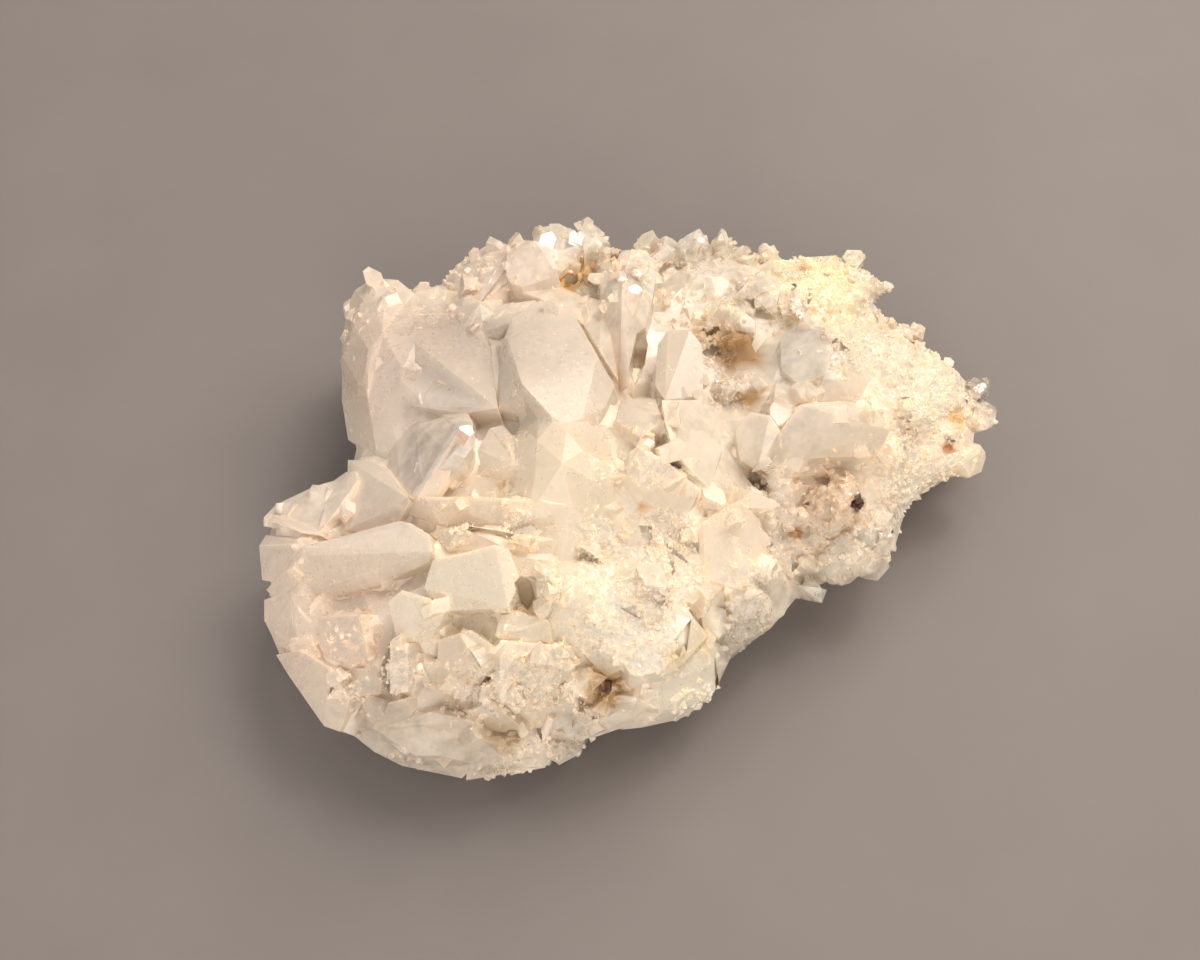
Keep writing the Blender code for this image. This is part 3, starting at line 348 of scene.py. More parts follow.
POINTS = [crystal_template(100 + k, "point") for k in range(36)]
BROKEN = [crystal_template(300 + k, "broken") for k in range(24)]


def small_template(seed):
    """A plainer crystal for the finest druse."""
    r = np.random.default_rng(seed)
    sides = int(r.integers(3, 6))
    turn = np.radians(360 / sides * np.arange(sides) + r.uniform(-9, 9, sides))
    radius = 0.5 * (1 + r.uniform(-0.2, 0.12, sides))
    ring = np.column_stack([np.cos(turn) * radius, np.sin(turn) * radius])
    tip = [r.uniform(-0.16, 0.16), r.uniform(-0.16, 0.16), 0.0]
    shoulder = r.uniform(-0.62, -0.32, sides)
    verts = np.vstack([np.column_stack([ring * 0.9, np.full(sides, -2.4)]), np.column_stack([ring, shoulder]), [tip]])
    return hull(verts)


SMALL = [small_template(500 + k) for k in range(40)]


def sample_surface(mesh, count, r):
    """Random points spread evenly over the mesh, with face normals."""
    mesh.calc_loop_triangles()
    n = len(mesh.loop_triangles)
    tri = np.empty(n * 3, np.int32)
    mesh.loop_triangles.foreach_get("vertices", tri)
    co = np.empty(len(mesh.vertices) * 3, np.float32)
    mesh.vertices.foreach_get("co", co)
    p = co.reshape(-1, 3).astype(float)[tri.reshape(-1, 3)]
    # the same points whatever order the faces and their corners come in
    first = (p @ [1.0, 0.37, 0.61]).argmin(axis=1)
    p = np.take_along_axis(p, ((first[:, None] + [0, 1, 2]) % 3)[:, :, None], axis=1)
    p = p[np.lexsort(p.mean(axis=1).T)]
    cross = np.cross(p[:, 1] - p[:, 0], p[:, 2] - p[:, 0])
    size = np.linalg.norm(cross, axis=1)
    pick = r.choice(n, count, p=size / size.sum())
    a, b = r.random(count), r.random(count)
    flip = a + b > 1
    a[flip], b[flip] = 1 - a[flip], 1 - b[flip]
    q = p[pick]
    at = q[:, 0] + a[:, None] * (q[:, 1] - q[:, 0]) + b[:, None] * (q[:, 2] - q[:, 0])
    return at, cross[pick] / size[pick][:, None], size.sum() / 2


class Pile:
    """Closed crystals gathered into one mesh."""

    def __init__(self):
        self.verts, self.faces, self.start = [], [], 0

    def add(self, verts, faces):
        self.verts.append(verts)
        self.faces.append(faces + self.start)
        self.start += len(verts)


def stand(pile, templates, at, axis, width, rise, root, r, flat=1.0):
    """Adds a crystal whose point stands `rise` over `at`, let in by `root`."""
    shape, tris = templates[r.integers(len(templates))]
    turn = axis.to_track_quat("Z", "Y").to_matrix() @ Matrix.Rotation(r.uniform(0, math.tau), 3, "Z")
    scaled = shape * [width, width * flat, width]
    bottom = shape[:, 2] < -2.3
    scaled[bottom, 2] = -(rise + root)
    scaled[:, 2] = np.maximum(scaled[:, 2], -(rise + root))
    scaled[:, 2] += rise
    pile.add(scaled @ np.array(turn).T + at, tris)


def spread(table, at):
    """For each sample the strongest row of the table: density and its other values."""
    centres, radii, rest = placed(table)
    share = np.zeros(len(at))
    which = np.zeros(len(at), int)
    for k, (c, r_, row) in enumerate(zip(centres, radii, rest)):
        d = np.sqrt(((at - c) ** 2).sum(1)) / r_
        w = np.clip(1.5 - 1.3 * d, 0, 1) * row[0]
        better = w > share
        share[better], which[better] = w[better], k
    return share, which, rest


def spaced(at, width, gap):
    """Indices kept so that crystals stand at least `gap` of their widths apart."""
    cells, chosen, size = {}, [], float(width.max()) * 1.05
    for i in range(len(at)):
        key = tuple(np.floor(at[i] / size).astype(int))
        near = [j for dx in (-1, 0, 1) for dy in (-1, 0, 1) for dz in (-1, 0, 1)
                for j in cells.get((key[0] + dx, key[1] + dy, key[2] + dz), ())]
        if any(((at[i] - at[j]) ** 2).sum() < (gap * (width[i] + width[j])) ** 2 for j in near):
            continue
        cells.setdefault(key, []).append(i)
        chosen.append(i)
    return np.array(chosen)


def drawn(angle):
    """The direction that runs at this angle on the drawing, 0 to the right and 90 up."""
    a = math.radians(angle)
    return RIGHT * math.cos(a) + Vector((0, 1, 0)) * math.sin(a)


# ------------------------------------------------------------------ the skin
def refine(co, tri, fine, coarse, most):
    """Splits edges until none is too long: fine where the rock is smooth, coarse elsewhere."""
    for _ in range(8):
        pairs = np.sort(tri[:, [[0, 1], [1, 2], [2, 0]]].reshape(-1, 2), axis=1)
        edges, back = np.unique(pairs, axis=0, return_inverse=True)
        back = back.reshape(-1, 3)
        middle = co[edges].mean(1)
        limit = np.where(spread(SOFT, middle)[0] > 0.12, fine, coarse)
        marked = np.linalg.norm(co[edges[:, 0]] - co[edges[:, 1]], axis=1) > limit
        if not marked.any() or len(tri) > most:
            break
        at = np.full(len(edges), -1)
        at[marked] = len(co) + np.arange(marked.sum())
        co = np.vstack([co, middle[marked]])
        m = at[back]
        count = (m >= 0).sum(1)
        out = [tri[count == 0]]
        for k in range(3):
            i, j, l = k, (k + 1) % 3, (k + 2) % 3
            one = (count == 1) & (m[:, i] >= 0)
            t, n = tri[one], m[one, i]
            out += [np.column_stack([t[:, i], n, t[:, l]]), np.column_stack([n, t[:, j], t[:, l]])]
            two = (count == 2) & (m[:, l] < 0)
            t, n, o = tri[two], m[two, i], m[two, j]
            out += [np.column_stack([n, t[:, j], o]), np.column_stack([t[:, i], n, o]),
                    np.column_stack([t[:, i], o, t[:, l]])]
        t, n = tri[count == 3], m[count == 3]
        out += [np.column_stack([t[:, 0], n[:, 0], n[:, 2]]), np.column_stack([n[:, 0], t[:, 1], n[:, 1]]),
                np.column_stack([n[:, 2], n[:, 1], t[:, 2]]), n]
        tri = np.vstack(out)
    return co, tri


def arrays(mesh):
    """The points and triangles of a mesh."""
    mesh.calc_loop_triangles()
    tri = np.empty(len(mesh.loop_triangles) * 3, np.int32)
    mesh.loop_triangles.foreach_get("vertices", tri)
    co = np.empty(len(mesh.vertices) * 3, np.float32)
    mesh.vertices.foreach_get("co", co)
    return co.reshape(-1, 3).astype(float), tri.reshape(-1, 3).astype(int)


def relief(points, milk):
    """Growth relief along the normal, in metres: low swells and fine ripple on flat faces."""
    out = np.empty(len(points))
    for i, (p, m) in enumerate(zip(points, milk)):
        q = Vector(p)
        swell = noise.noise(q * 150.0)
        ripple = noise.noise(q * 480.0 + Vector((3.1, 7.7, 1.3)))
        out[i] = (0.06 + 0.16 * m) * swell + (0.03 + 0.04 * m) * ripple
    return out * MM


skin_mesh = bpy.data.meshes.new("skin_start")
base.to_mesh(skin_mesh)
co, tri = refine(*arrays(skin_mesh), 0.0018, 0.006, 120000)
no = np.zeros_like(co)
cross = np.cross(co[tri[:, 1]] - co[tri[:, 0]], co[tri[:, 2]] - co[tri[:, 0]])
for k in range(3):
    np.add.at(no, tri[:, k], cross)
no /= np.maximum(np.linalg.norm(no, axis=1), 1e-12)[:, None]
milk, _, _, _ = fields(co)
ends = np.unique(np.sort(tri[:, [[0, 1], [1, 2], [2, 0]]].reshape(-1, 2), axis=1), axis=0)
count = np.maximum(np.bincount(ends.ravel(), minlength=len(co)), 1).astype(float)
soft = np.clip(spread(SOFT, co)[0], 0, 1)
smooth = co.copy()
for _ in range(28):
    total = np.zeros_like(smooth)
    np.add.at(total, ends[:, 0], smooth[ends[:, 1]])
    np.add.at(total, ends[:, 1], smooth[ends[:, 0]])
    smooth += (0.5 * soft)[:, None] * (total / count[:, None] - smooth)
lift = relief(co, milk)
shift = smooth - co + no * lift[:, None]
shift[co[:, 2] < 0.0005] = 0.0
kd = KDTree(len(co))
for i, p in enumerate(co):
    kd.insert(p, i)
kd.balance()


def settle(mesh):
    """Moves every point with the smoothed surface beneath it."""
    for v in mesh.vertices:
        if v.co.z < 0.0005:
            continue
        found = kd.find_n(v.co, 5)
        w = np.array([1.0 / (f[2] + 0.00005) for f in found])
        moved = v.co + Vector((shift[[f[1] for f in found]] * w[:, None]).sum(0) / w.sum())
        moved.z = max(moved.z, 0.0001)
        v.co = moved


# ------------------------------------------------------------------ medium crystals
# u, v, radius mm, per mm2, smallest and largest width mm,
# way they point on the drawing, how far they lean that way, kind
MEDIUM = [
    (475, 270, 7, 0.035, 2.5, 5.0, 110, 0.9, "broken"), (530, 262, 5, 0.03, 2.5, 5.5, 95, 0.5, "broken"),
    (592, 245, 6, 0.05, 2.5, 5.0, 80, 0.7, "point"), (612, 270, 5, 0.06, 2.0, 4.0, 75, 0.8, "point"),
    (585, 300, 5, 0.09, 1.6, 3.4, 60, 0.8, "point"), (640, 300, 5, 0.05, 2.5, 4.5, 85, 1.0, "point"),
    (650, 262, 6, 0.07, 2.5, 5.0, 80, 0.9, "point"), (690, 250, 7, 0.07, 2.4, 5.0, 85, 0.9, "point"),
    (735, 252, 7, 0.08, 2.2, 4.6, 75, 0.9, "point"), (700, 290, 8, 0.07, 2.2, 5.0, 60, 0.9, "point"),
    (760, 295, 8, 0.07, 2.2, 5.0, 45, 0.9, "point"), (720, 335, 7, 0.07, 2.0, 4.0, 210, 0.9, "point"),
    (740, 380, 7, 0.08, 2.0, 5.0, 190, 1.1, "point"), (700, 390, 6, 0.05, 2.5, 5.0, 250, 1.0, "point"),
    (790, 330, 7, 0.06, 2.0, 4.6, 20, 0.8, "point"), (815, 375, 7, 0.05, 2.4, 5.0, 0, 0.8, "broken"),
    (850, 330, 8, 0.06, 1.8, 4.0, 30, 0.8, "point"), (870, 400, 8, 0.05, 2.0, 4.6, 0, 0.8, "broken"),
    (840, 440, 8, 0.04, 2.4, 5.5, 180, 1.0, "broken"), (890, 460, 8, 0.07, 1.8, 4.2, 330, 0.8, "point"),
    (930, 380, 9, 0.05, 1.6, 3.6, 10, 0.7, "point"), (930, 450, 8, 0.06, 1.6, 3.8, 330, 0.8, "point"),
    (975, 395, 5, 0.10, 1.6, 3.2, 20, 0.9, "point"), (965, 455, 5, 0.07, 1.8, 3.6, 340, 0.8, "point"),
    (840, 490, 8, 0.08, 1.8, 4.2, 150, 0.8, "point"), (880, 525, 8, 0.08, 2.0, 4.6, 300, 1.0, "point"),
    (840, 550, 9, 0.07, 2.4, 5.6, 290, 1.0, "point"), (790, 560, 9, 0.07, 2.4, 5.4, 250, 1.0, "point"),
    (800, 520, 7, 0.08, 2.0, 4.6, 170, 1.1, "point"), (760, 600, 8, 0.07, 2.4, 5.2, 280, 0.9, "point"),
    (770, 485, 7, 0.09, 1.8, 4.0, 200, 1.0, "point"), (735, 545, 9, 0.03, 3.0, 6.0, 120, 0.9, "broken"),
    (695, 470, 7, 0.05, 2.4, 5.0, 60, 0.8, "broken"), (645, 470, 7, 0.05, 2.4, 5.4, 200, 1.0, "broken"),
    (655, 430, 6, 0.07, 1.8, 3.6, 100, 0.8, "point"), (625, 400, 4, 0.08, 1.4, 2.6, 90, 0.7, "point"),
    (700, 520, 7, 0.03, 2.6, 5.0, 100, 0.8, "broken"), (610, 560, 10, 0.045, 2.4, 5.6, 160, 0.9, "broken"),
    (600, 610, 9, 0.055, 2.2, 5.2, 140, 0.9, "broken"), (650, 640, 9, 0.055, 2.2, 5.0, 100, 0.8, "point"),
    (700, 620, 8, 0.05, 2.4, 5.4, 90, 0.8, "broken"), (700, 680, 8, 0.045, 2.6, 5.6, 300, 0.7, "broken"),
    (650, 700, 9, 0.05, 2.4, 5.4, 200, 0.9, "broken"), (580, 660, 8, 0.06, 2.2, 4.8, 230, 0.9, "point"),
    (580, 720, 8, 0.06, 2.2, 5.0, 220, 1.0, "point"), (530, 700, 8, 0.06, 2.2, 5.0, 200, 0.9, "point"),
    (480, 660, 9, 0.05, 2.4, 5.2, 120, 0.8, "point"), (520, 640, 7, 0.05, 2.2, 4.6, 60, 0.8, "point"),
    (430, 640, 8, 0.05, 2.2, 5.0, 160, 0.8, "broken"), (440, 700, 9, 0.05, 2.4, 5.2, 240, 0.8, "point"),
    (380, 660, 8, 0.06, 2.2, 5.0, 200, 0.8, "point"), (340, 680, 8, 0.05, 2.2, 5.0, 210, 0.9, "broken"),
    (400, 740, 10, 0.04, 2.6, 5.6, 230, 0.9, "broken"), (500, 765, 9, 0.05, 2.2, 5.0, 270, 0.9, "broken"),
    (320, 600, 8, 0.04, 2.6, 5.4, 190, 0.9, "broken"), (290, 570, 7, 0.04, 2.4, 5.0, 200, 0.9, "broken"),
    (370, 600, 6, 0.05, 2.0, 4.2, 140, 0.8, "broken"), (300, 505, 6, 0.04, 3.0, 6.0, 160, 1.0, "broken"),
    (350, 500, 6, 0.05, 2.4, 5.4, 140, 0.9, "broken"), (415, 470, 7, 0.03, 2.6, 5.4, 70, 0.9, "point"),
    (450, 500, 5, 0.05, 1.8, 4.0, 180, 1.0, "broken"), (525, 520, 6, 0.05, 1.8, 4.0, 100, 0.8, "broken"),
    (508, 460, 4, 0.06, 1.8, 3.4, 120, 0.8, "broken"), (540, 585, 5, 0.08, 1.8, 3.6, 90, 0.7, "point"),
    (450, 315, 7, 0.03, 2.4, 4.6, 300, 1.0, "broken"), (505, 330, 5, 0.03, 2.4, 4.6, 200, 1.1, "broken"),
    (410, 300, 7, 0.02, 3.0, 6.0, 110, 0.8, "broken"), (420, 400, 6, 0.02, 3.0, 6.0, 230, 0.9, "broken"),
    (515, 395, 4, 0.06, 1.6, 3.2, 280, 0.9, "point"),
    (748, 628, 7, 0.09, 1.8, 4.2, 290, 1.0, "point"), (700, 702, 7, 0.05, 2.2, 4.6, 280, 0.9, "broken"),
    (640, 728, 7, 0.06, 2.2, 4.8, 260, 0.9, "point"), (570, 748, 7, 0.07, 2.0, 4.4, 250, 0.9, "point"),
    (480, 770, 8, 0.05, 2.2, 4.8, 260, 0.9, "broken"),
]

# u, v, radius mm: smooth places without crystals of their own
BARE = [(566, 460, 9.0), (718, 552, 4.0), (765, 550, 3.0), (708, 492, 3.0), (272, 500, 3.5), (778, 404, 3.0), (545, 350, 8.0), (440, 350, 7.0), (835, 432, 5.0),
        (368, 280, 5.0), (392, 292, 3.5), (852, 262, 3.0), (888, 286, 2.0)]
BARE_AT, BARE_R, _ = placed(BARE)

surface, slope, area = sample_surface(skin_mesh, 60000, rng)
per_mm2 = 60000 / (area / MM ** 2)
share, which, rest = spread(MEDIUM, surface)
unseen = (surface[:, 1] > 0.024) & (share < 0.01) & (surface[:, 2] > 0.004)
share[unseen] = 0.035
keep = (rng.random(len(surface)) < share * 3.2 / per_mm2) & (surface[:, 2] > 0.003)
at, normal, which, unseen = surface[keep], slope[keep], which[keep], unseen[keep]
rows = [(0.03, 2.2, 5.0, None, 0.6, "point") if u else rest[k] for k, u in zip(which, unseen)]
width = np.array([row[1] + (row[2] - row[1]) * rng.random() ** 1.6 for row in rows]) * MM
order = np.argsort(-width)
at, normal, width = at[order], normal[order], width[order]
rows = [rows[k] for k in order]
chosen = spaced(at, width, 0.40)
print("medium crystals", len(chosen))
solids = []
for i in chosen:
    _, _, _, way, lean, kind = rows[i]
    n = Vector(normal[i])
    toward = drawn(way + rng.normal(0, 22)) if way is not None else Vector(rng.normal(0, 1, 3))
    axis = (n * 1.0 + toward * lean * rng.uniform(0.5, 1.25) + Vector(rng.normal(0, 1, 3)) * 0.22).normalized()
    rise = width[i] * rng.uniform(0.10, 0.42)
    solid = Pile()
    stand(solid, POINTS if kind == "point" else BROKEN, at[i], axis, width[i], rise,
          width[i] * 0.9, rng, rng.uniform(0.55, 1.0))
    if (((BARE_AT - at[i]) ** 2).sum(1) > BARE_R ** 2).all() and solid.verts[0][:, 2].min() > 0.0045:
        solids.append((solid.verts[0], solid.faces[0]))

# u, v of the root and of the tip, width mm, flatness: crystals whose end face catches the window
TURNED = [
    (426, 498, 467, 432, 4.0, 0.7), (545, 746, 552, 716, 1.8, 0.6), (534, 268, 546, 244, 4.2, 0.8),
    (612, 326, 634, 290, 3.4, 0.7), (664, 258, 672, 236, 2.4, 0.7), 
    (808, 332, 796, 304, 2.2, 0.7), (612, 254, 604, 232, 2.2, 0.7), (430, 690, 416, 666, 2.0, 0.8),
    (968, 404, 982, 388, 2.0, 0.7), (580, 262, 572, 238, 2.2, 0.7), (690, 262, 700, 240, 2.2, 0.7),
    (842, 300, 852, 284, 1.6, 0.8), (900, 440, 914, 430, 1.6, 0.8), (640, 610, 650, 596, 1.6, 0.8),
]
for u0, v0, u1, v1, wide, flat in TURNED:
    (root, out), (tip, _) = hit(u0, v0), hit(u1, v1)
    root = root - out * wide * 0.85 * MM
    face = ((EYE - tip).normalized() + (WINDOW - tip).normalized()).normalized()
    axis = (tip - root).normalized()
    side = axis.cross(face).normalized()
    up = side.cross(axis)
    tip = tip + up * wide * 0.32 * MM
    long = (tip - root).length / MM / wide
    turn = Matrix((side, up, axis)).transposed()
    local = np.array(turn.transposed() @ face) * [1.0, flat, 1.0]
    local /= np.linalg.norm(local)
    normals, offsets = [], []
    for k in range(6):
        a = math.radians(60 * k + 30 + rng.uniform(-4, 4))
        normals.append([math.cos(a), math.sin(a), 0.02])
        offsets.append(0.5 * (1.0 if k in (2, 5) else rng.uniform(0.78, 1.0)))
    normals += [local.tolist(), [0.62, -0.30, 0.72], [-0.66, -0.20, 0.72], [0.05, -0.62, 0.78], [0.0, 0.0, -1.0]]
    offsets += [0.30 * float(np.hypot(local[1], 0.35)), 0.28, 0.26, 0.22, long + 0.5]
    shape, tris = hull(solid_from_planes(normals, offsets))
    solids.append(((shape * [wide * MM, wide * flat * MM, wide * MM]) @ np.array(turn).T + np.array(tip), tris))


def fits(verts):
    low, high = np.array(CAD_BOX[0]) - 0.0008, np.array(CAD_BOX[1]) + 0.0008
    return (verts.min(0) > low).all() and (verts.max(0) < high).all() and verts[:, 2].min() > 0.0015


def unite(mesh, solids):
    """The mesh and these closed solids as one closed surface.

    They are united in classes whose members stand apart from each other.
    """
    solids = [one for one in solids if fits(one[0])]
    boxes = np.array([np.concatenate([v.min(0), v.max(0)]) for v, _ in solids])
    left, rounds = list(range(len(solids))), 0
    grown = bpy.data.objects.new("grown", mesh)
    scene.collection.objects.link(grown)
    while left:
        members, later, cells = [], [], {}
        for k in left:
            box = boxes[k]
            lo, hi = np.floor(box[:3] / 0.004).astype(int), np.floor(box[3:] / 0.004).astype(int)
            keys = [(x, y, z) for x in range(lo[0], hi[0] + 1) for y in range(lo[1], hi[1] + 1)
                    for z in range(lo[2], hi[2] + 1)]
            near = {j for key in keys for j in cells.get(key, ())}
            if any((box[:3] <= boxes[j][3:]).all() and (box[3:] >= boxes[j][:3]).all() for j in near):
                later.append(k)
                continue
            members.append(k)
            for key in keys:
                cells.setdefault(key, []).append(k)
        left, rounds = later, rounds + 1
        pile = Pile()
        for k in members:
            pile.add(*solids[k])
        tool_mesh = bpy.data.meshes.new("class")
        tool_mesh.from_pydata(np.vstack(pile.verts).tolist(), [], np.vstack(pile.faces).tolist())
        tool = bpy.data.objects.new("class", tool_mesh)
        scene.collection.objects.link(tool)
        union = grown.modifiers.new("u", "BOOLEAN")
        union.operation, union.solver, union.object = "UNION", "MANIFOLD", tool
        bpy.context.view_layer.update()
        graph = bpy.context.evaluated_depsgraph_get()
        made = bpy.data.meshes.new_from_object(grown.evaluated_get(graph), depsgraph=graph)
        grown.modifiers.clear()
        grown.data = made
        bpy.data.objects.remove(tool)
    made = grown.data
    bpy.data.objects.remove(grown)
    bm = bmesh.new(); bm.from_mesh(made)
    print("united", len(solids), "in", rounds, "rounds:", len(made.polygons), "faces, open edges",
          sum(len(e.link_faces) != 2 for e in bm.edges), "loose", sum(not v.link_faces for v in bm.verts))
    bm.free()
    return made


skin_mesh = unite(skin_mesh, solids)

# ------------------------------------------------------------------ druse
surface, slope, area = sample_surface(skin_mesh, 110000, rng)
per_mm2 = 110000 / (area / MM ** 2)
share, which, rest = spread(DRUSE, surface)
patchy = np.array([noise.noise(Vector(p) * 70.0) for p in surface])
unseen = (surface[:, 1] > 0.028) & (share < 0.10) & (surface[:, 2] > 0.004)
share[unseen] = np.where(patchy[unseen] > 0.05, 0.22, 0.02)
share *= np.where(patchy > -0.22, 1.0, 0.45)
keep = (rng.random(len(surface)) < share / per_mm2 * 2.0) & (surface[:, 2] > 0.0015)
at, normal, which, unseen = surface[keep], slope[keep], which[keep], unseen[keep]
small = np.where(unseen, 0.9, np.array([rest[k][1] for k in which]))
large = np.where(unseen, 2.2, np.array([rest[k][2] for k in which]))
lean = np.where(unseen, 0.8, np.array([rest[k][3] for k in which]))
width = (small + (large - small) * rng.random(len(at)) ** 2.0) * MM
chosen = spaced(at, width, 0.36)
print("druse crystals", len(chosen))
druse = []
for i in chosen:
    axis = (Vector(normal[i]) + Vector(rng.normal(0, 1, 3)) * lean[i] * 0.5).normalized()
    solid = Pile()
    stand(solid, SMALL if width[i] < 0.0016 else POINTS, at[i], axis, width[i],
          width[i] * rng.uniform(0.30, 0.95), width[i] * 0.5, rng)
    druse.append((solid.verts[0], solid.faces[0]))
skin_mesh = unite(skin_mesh, druse)
skin = bmesh.new()
skin.from_mesh(skin_mesh)
bmesh.ops.remove_doubles(skin, verts=skin.verts, dist=8e-5)
bmesh.ops.dissolve_degenerate(skin, edges=skin.edges, dist=4e-5)
bmesh.ops.triangulate(skin, faces=skin.faces)
print("before splitting", len(skin.faces))
skin.to_mesh(skin_mesh)
skin.free()
co, tri = refine(*arrays(skin_mesh), 0.0024, 0.020, 165000)
skin_mesh = bpy.data.meshes.new("quartz_skin")
skin_mesh.from_pydata(co.tolist(), [], tri.tolist())
skin_mesh.update()
print("after splitting", len(skin_mesh.polygons))
settle(skin_mesh)
skin_mesh.name = "quartz_skin"
skin_mesh.polygons.foreach_set("use_smooth", np.ones(len(skin_mesh.polygons), bool))
skin_mesh.set_sharp_from_angle(angle=math.radians(11))
for old in [a.name for a in skin_mesh.attributes if a.name in ("milk", "stain_and_shade", "tint", "fine")]:
    skin_mesh.attributes.remove(skin_mesh.attributes[old])
tree = BVHTree.FromPolygons([v.co for v in skin_mesh.vertices], [tuple(q.vertices) for q in skin_mesh.polygons])
STAIN_SHADE_AT, STAIN_SHADE_R, STAIN_SHADE_REST = placed(STAINS_AND_SHADE)
set_fields(skin_mesh)
skin_object = bpy.data.objects.new("quartz_skin", skin_mesh)
scene.collection.objects.link(skin_object)


# ------------------------------------------------------------------ milky veils
veils = cad.copy()
veils.data = cad.data.copy()
veils.name = "milky_veils"
scene.collection.objects.link(veils)
for o in bpy.data.objects:
    o.select_set(False)
remesh = veils.modifiers.new("r", "REMESH")
remesh.mode, remesh.voxel_size = "VOXEL", 0.0013
bpy.context.view_layer.update()
graph = bpy.context.evaluated_depsgraph_get()
inner = bpy.data.meshes.new_from_object(veils.evaluated_get(graph), depsgraph=graph)
bpy.data.objects.remove(veils)
settle(inner)
inner.update()
n = len(inner.vertices)
co = np.empty(n * 3, np.float32); inner.vertices.foreach_get("co", co); co = co.reshape(-1, 3).astype(float)
no = np.empty(n * 3, np.float32); inner.vertices.foreach_get("normal", no); no = no.reshape(-1, 3).astype(float)
milk, _, stain_and_shade, _ = fields(co)
depth = np.empty(n)
for i, (p, m) in enumerate(zip(co, milk)):
    q = Vector(p)
    cloud = noise.fractal(q * 210.0, 0.9, 2.1, 3)
    depth[i] = max(0.45, 2.4 - 1.7 * m + (1.0 - 0.4 * m) * cloud)
co2 = co - no * depth[:, None] * MM
co2[:, 2] = np.maximum(co2[:, 2], 0.0012)
inner.vertices.foreach_set("co", co2.astype(np.float32).ravel())
inner.update()
inner.name = "milky_veils"
inner.polygons.foreach_set("use_smooth", np.ones(len(inner.polygons), bool))
set_fields(inner)
veil_object = bpy.data.objects.new("milky_veils", inner)
scene.collection.objects.link(veil_object)
print("skin triangles", len(skin_mesh.polygons), "veils", len(inner.polygons))


# ------------------------------------------------------------------ materials
def material(name):
    m = bpy.data.materials.new(name)
    m.use_nodes = True
    tree_ = m.node_tree
    shader = next(n for n in tree_.nodes if n.type == "BSDF_PRINCIPLED")
    return m, tree_, shader


def attribute(tree_, name):
    n = tree_.nodes.new("ShaderNodeAttribute")
    n.attribute_name = name
    return n


def noise_node(tree_, place, scale, detail=3.0, rough=0.5):
    n = tree_.nodes.new("ShaderNodeTexNoise")
    n.inputs["Scale"].default_value = scale
    n.inputs["Detail"].default_value = detail
    n.inputs["Roughness"].default_value = rough
    tree_.links.new(place.outputs["Object"], n.inputs["Vector"])
    return n


def map_range(tree_, source, low_in, high_in, low_out, high_out):
    n = tree_.nodes.new("ShaderNodeMapRange")
    for i, value in zip((1, 2, 3, 4), (low_in, high_in, low_out, high_out)):
        n.inputs[i].default_value = value
    tree_.links.new(source, n.inputs[0])
    return n


def cells(tree_, place, scale):
    n = tree_.nodes.new("ShaderNodeTexVoronoi")
    n.inputs["Scale"].default_value = scale
    tree_.links.new(place.outputs["Object"], n.inputs["Vector"])
    return n


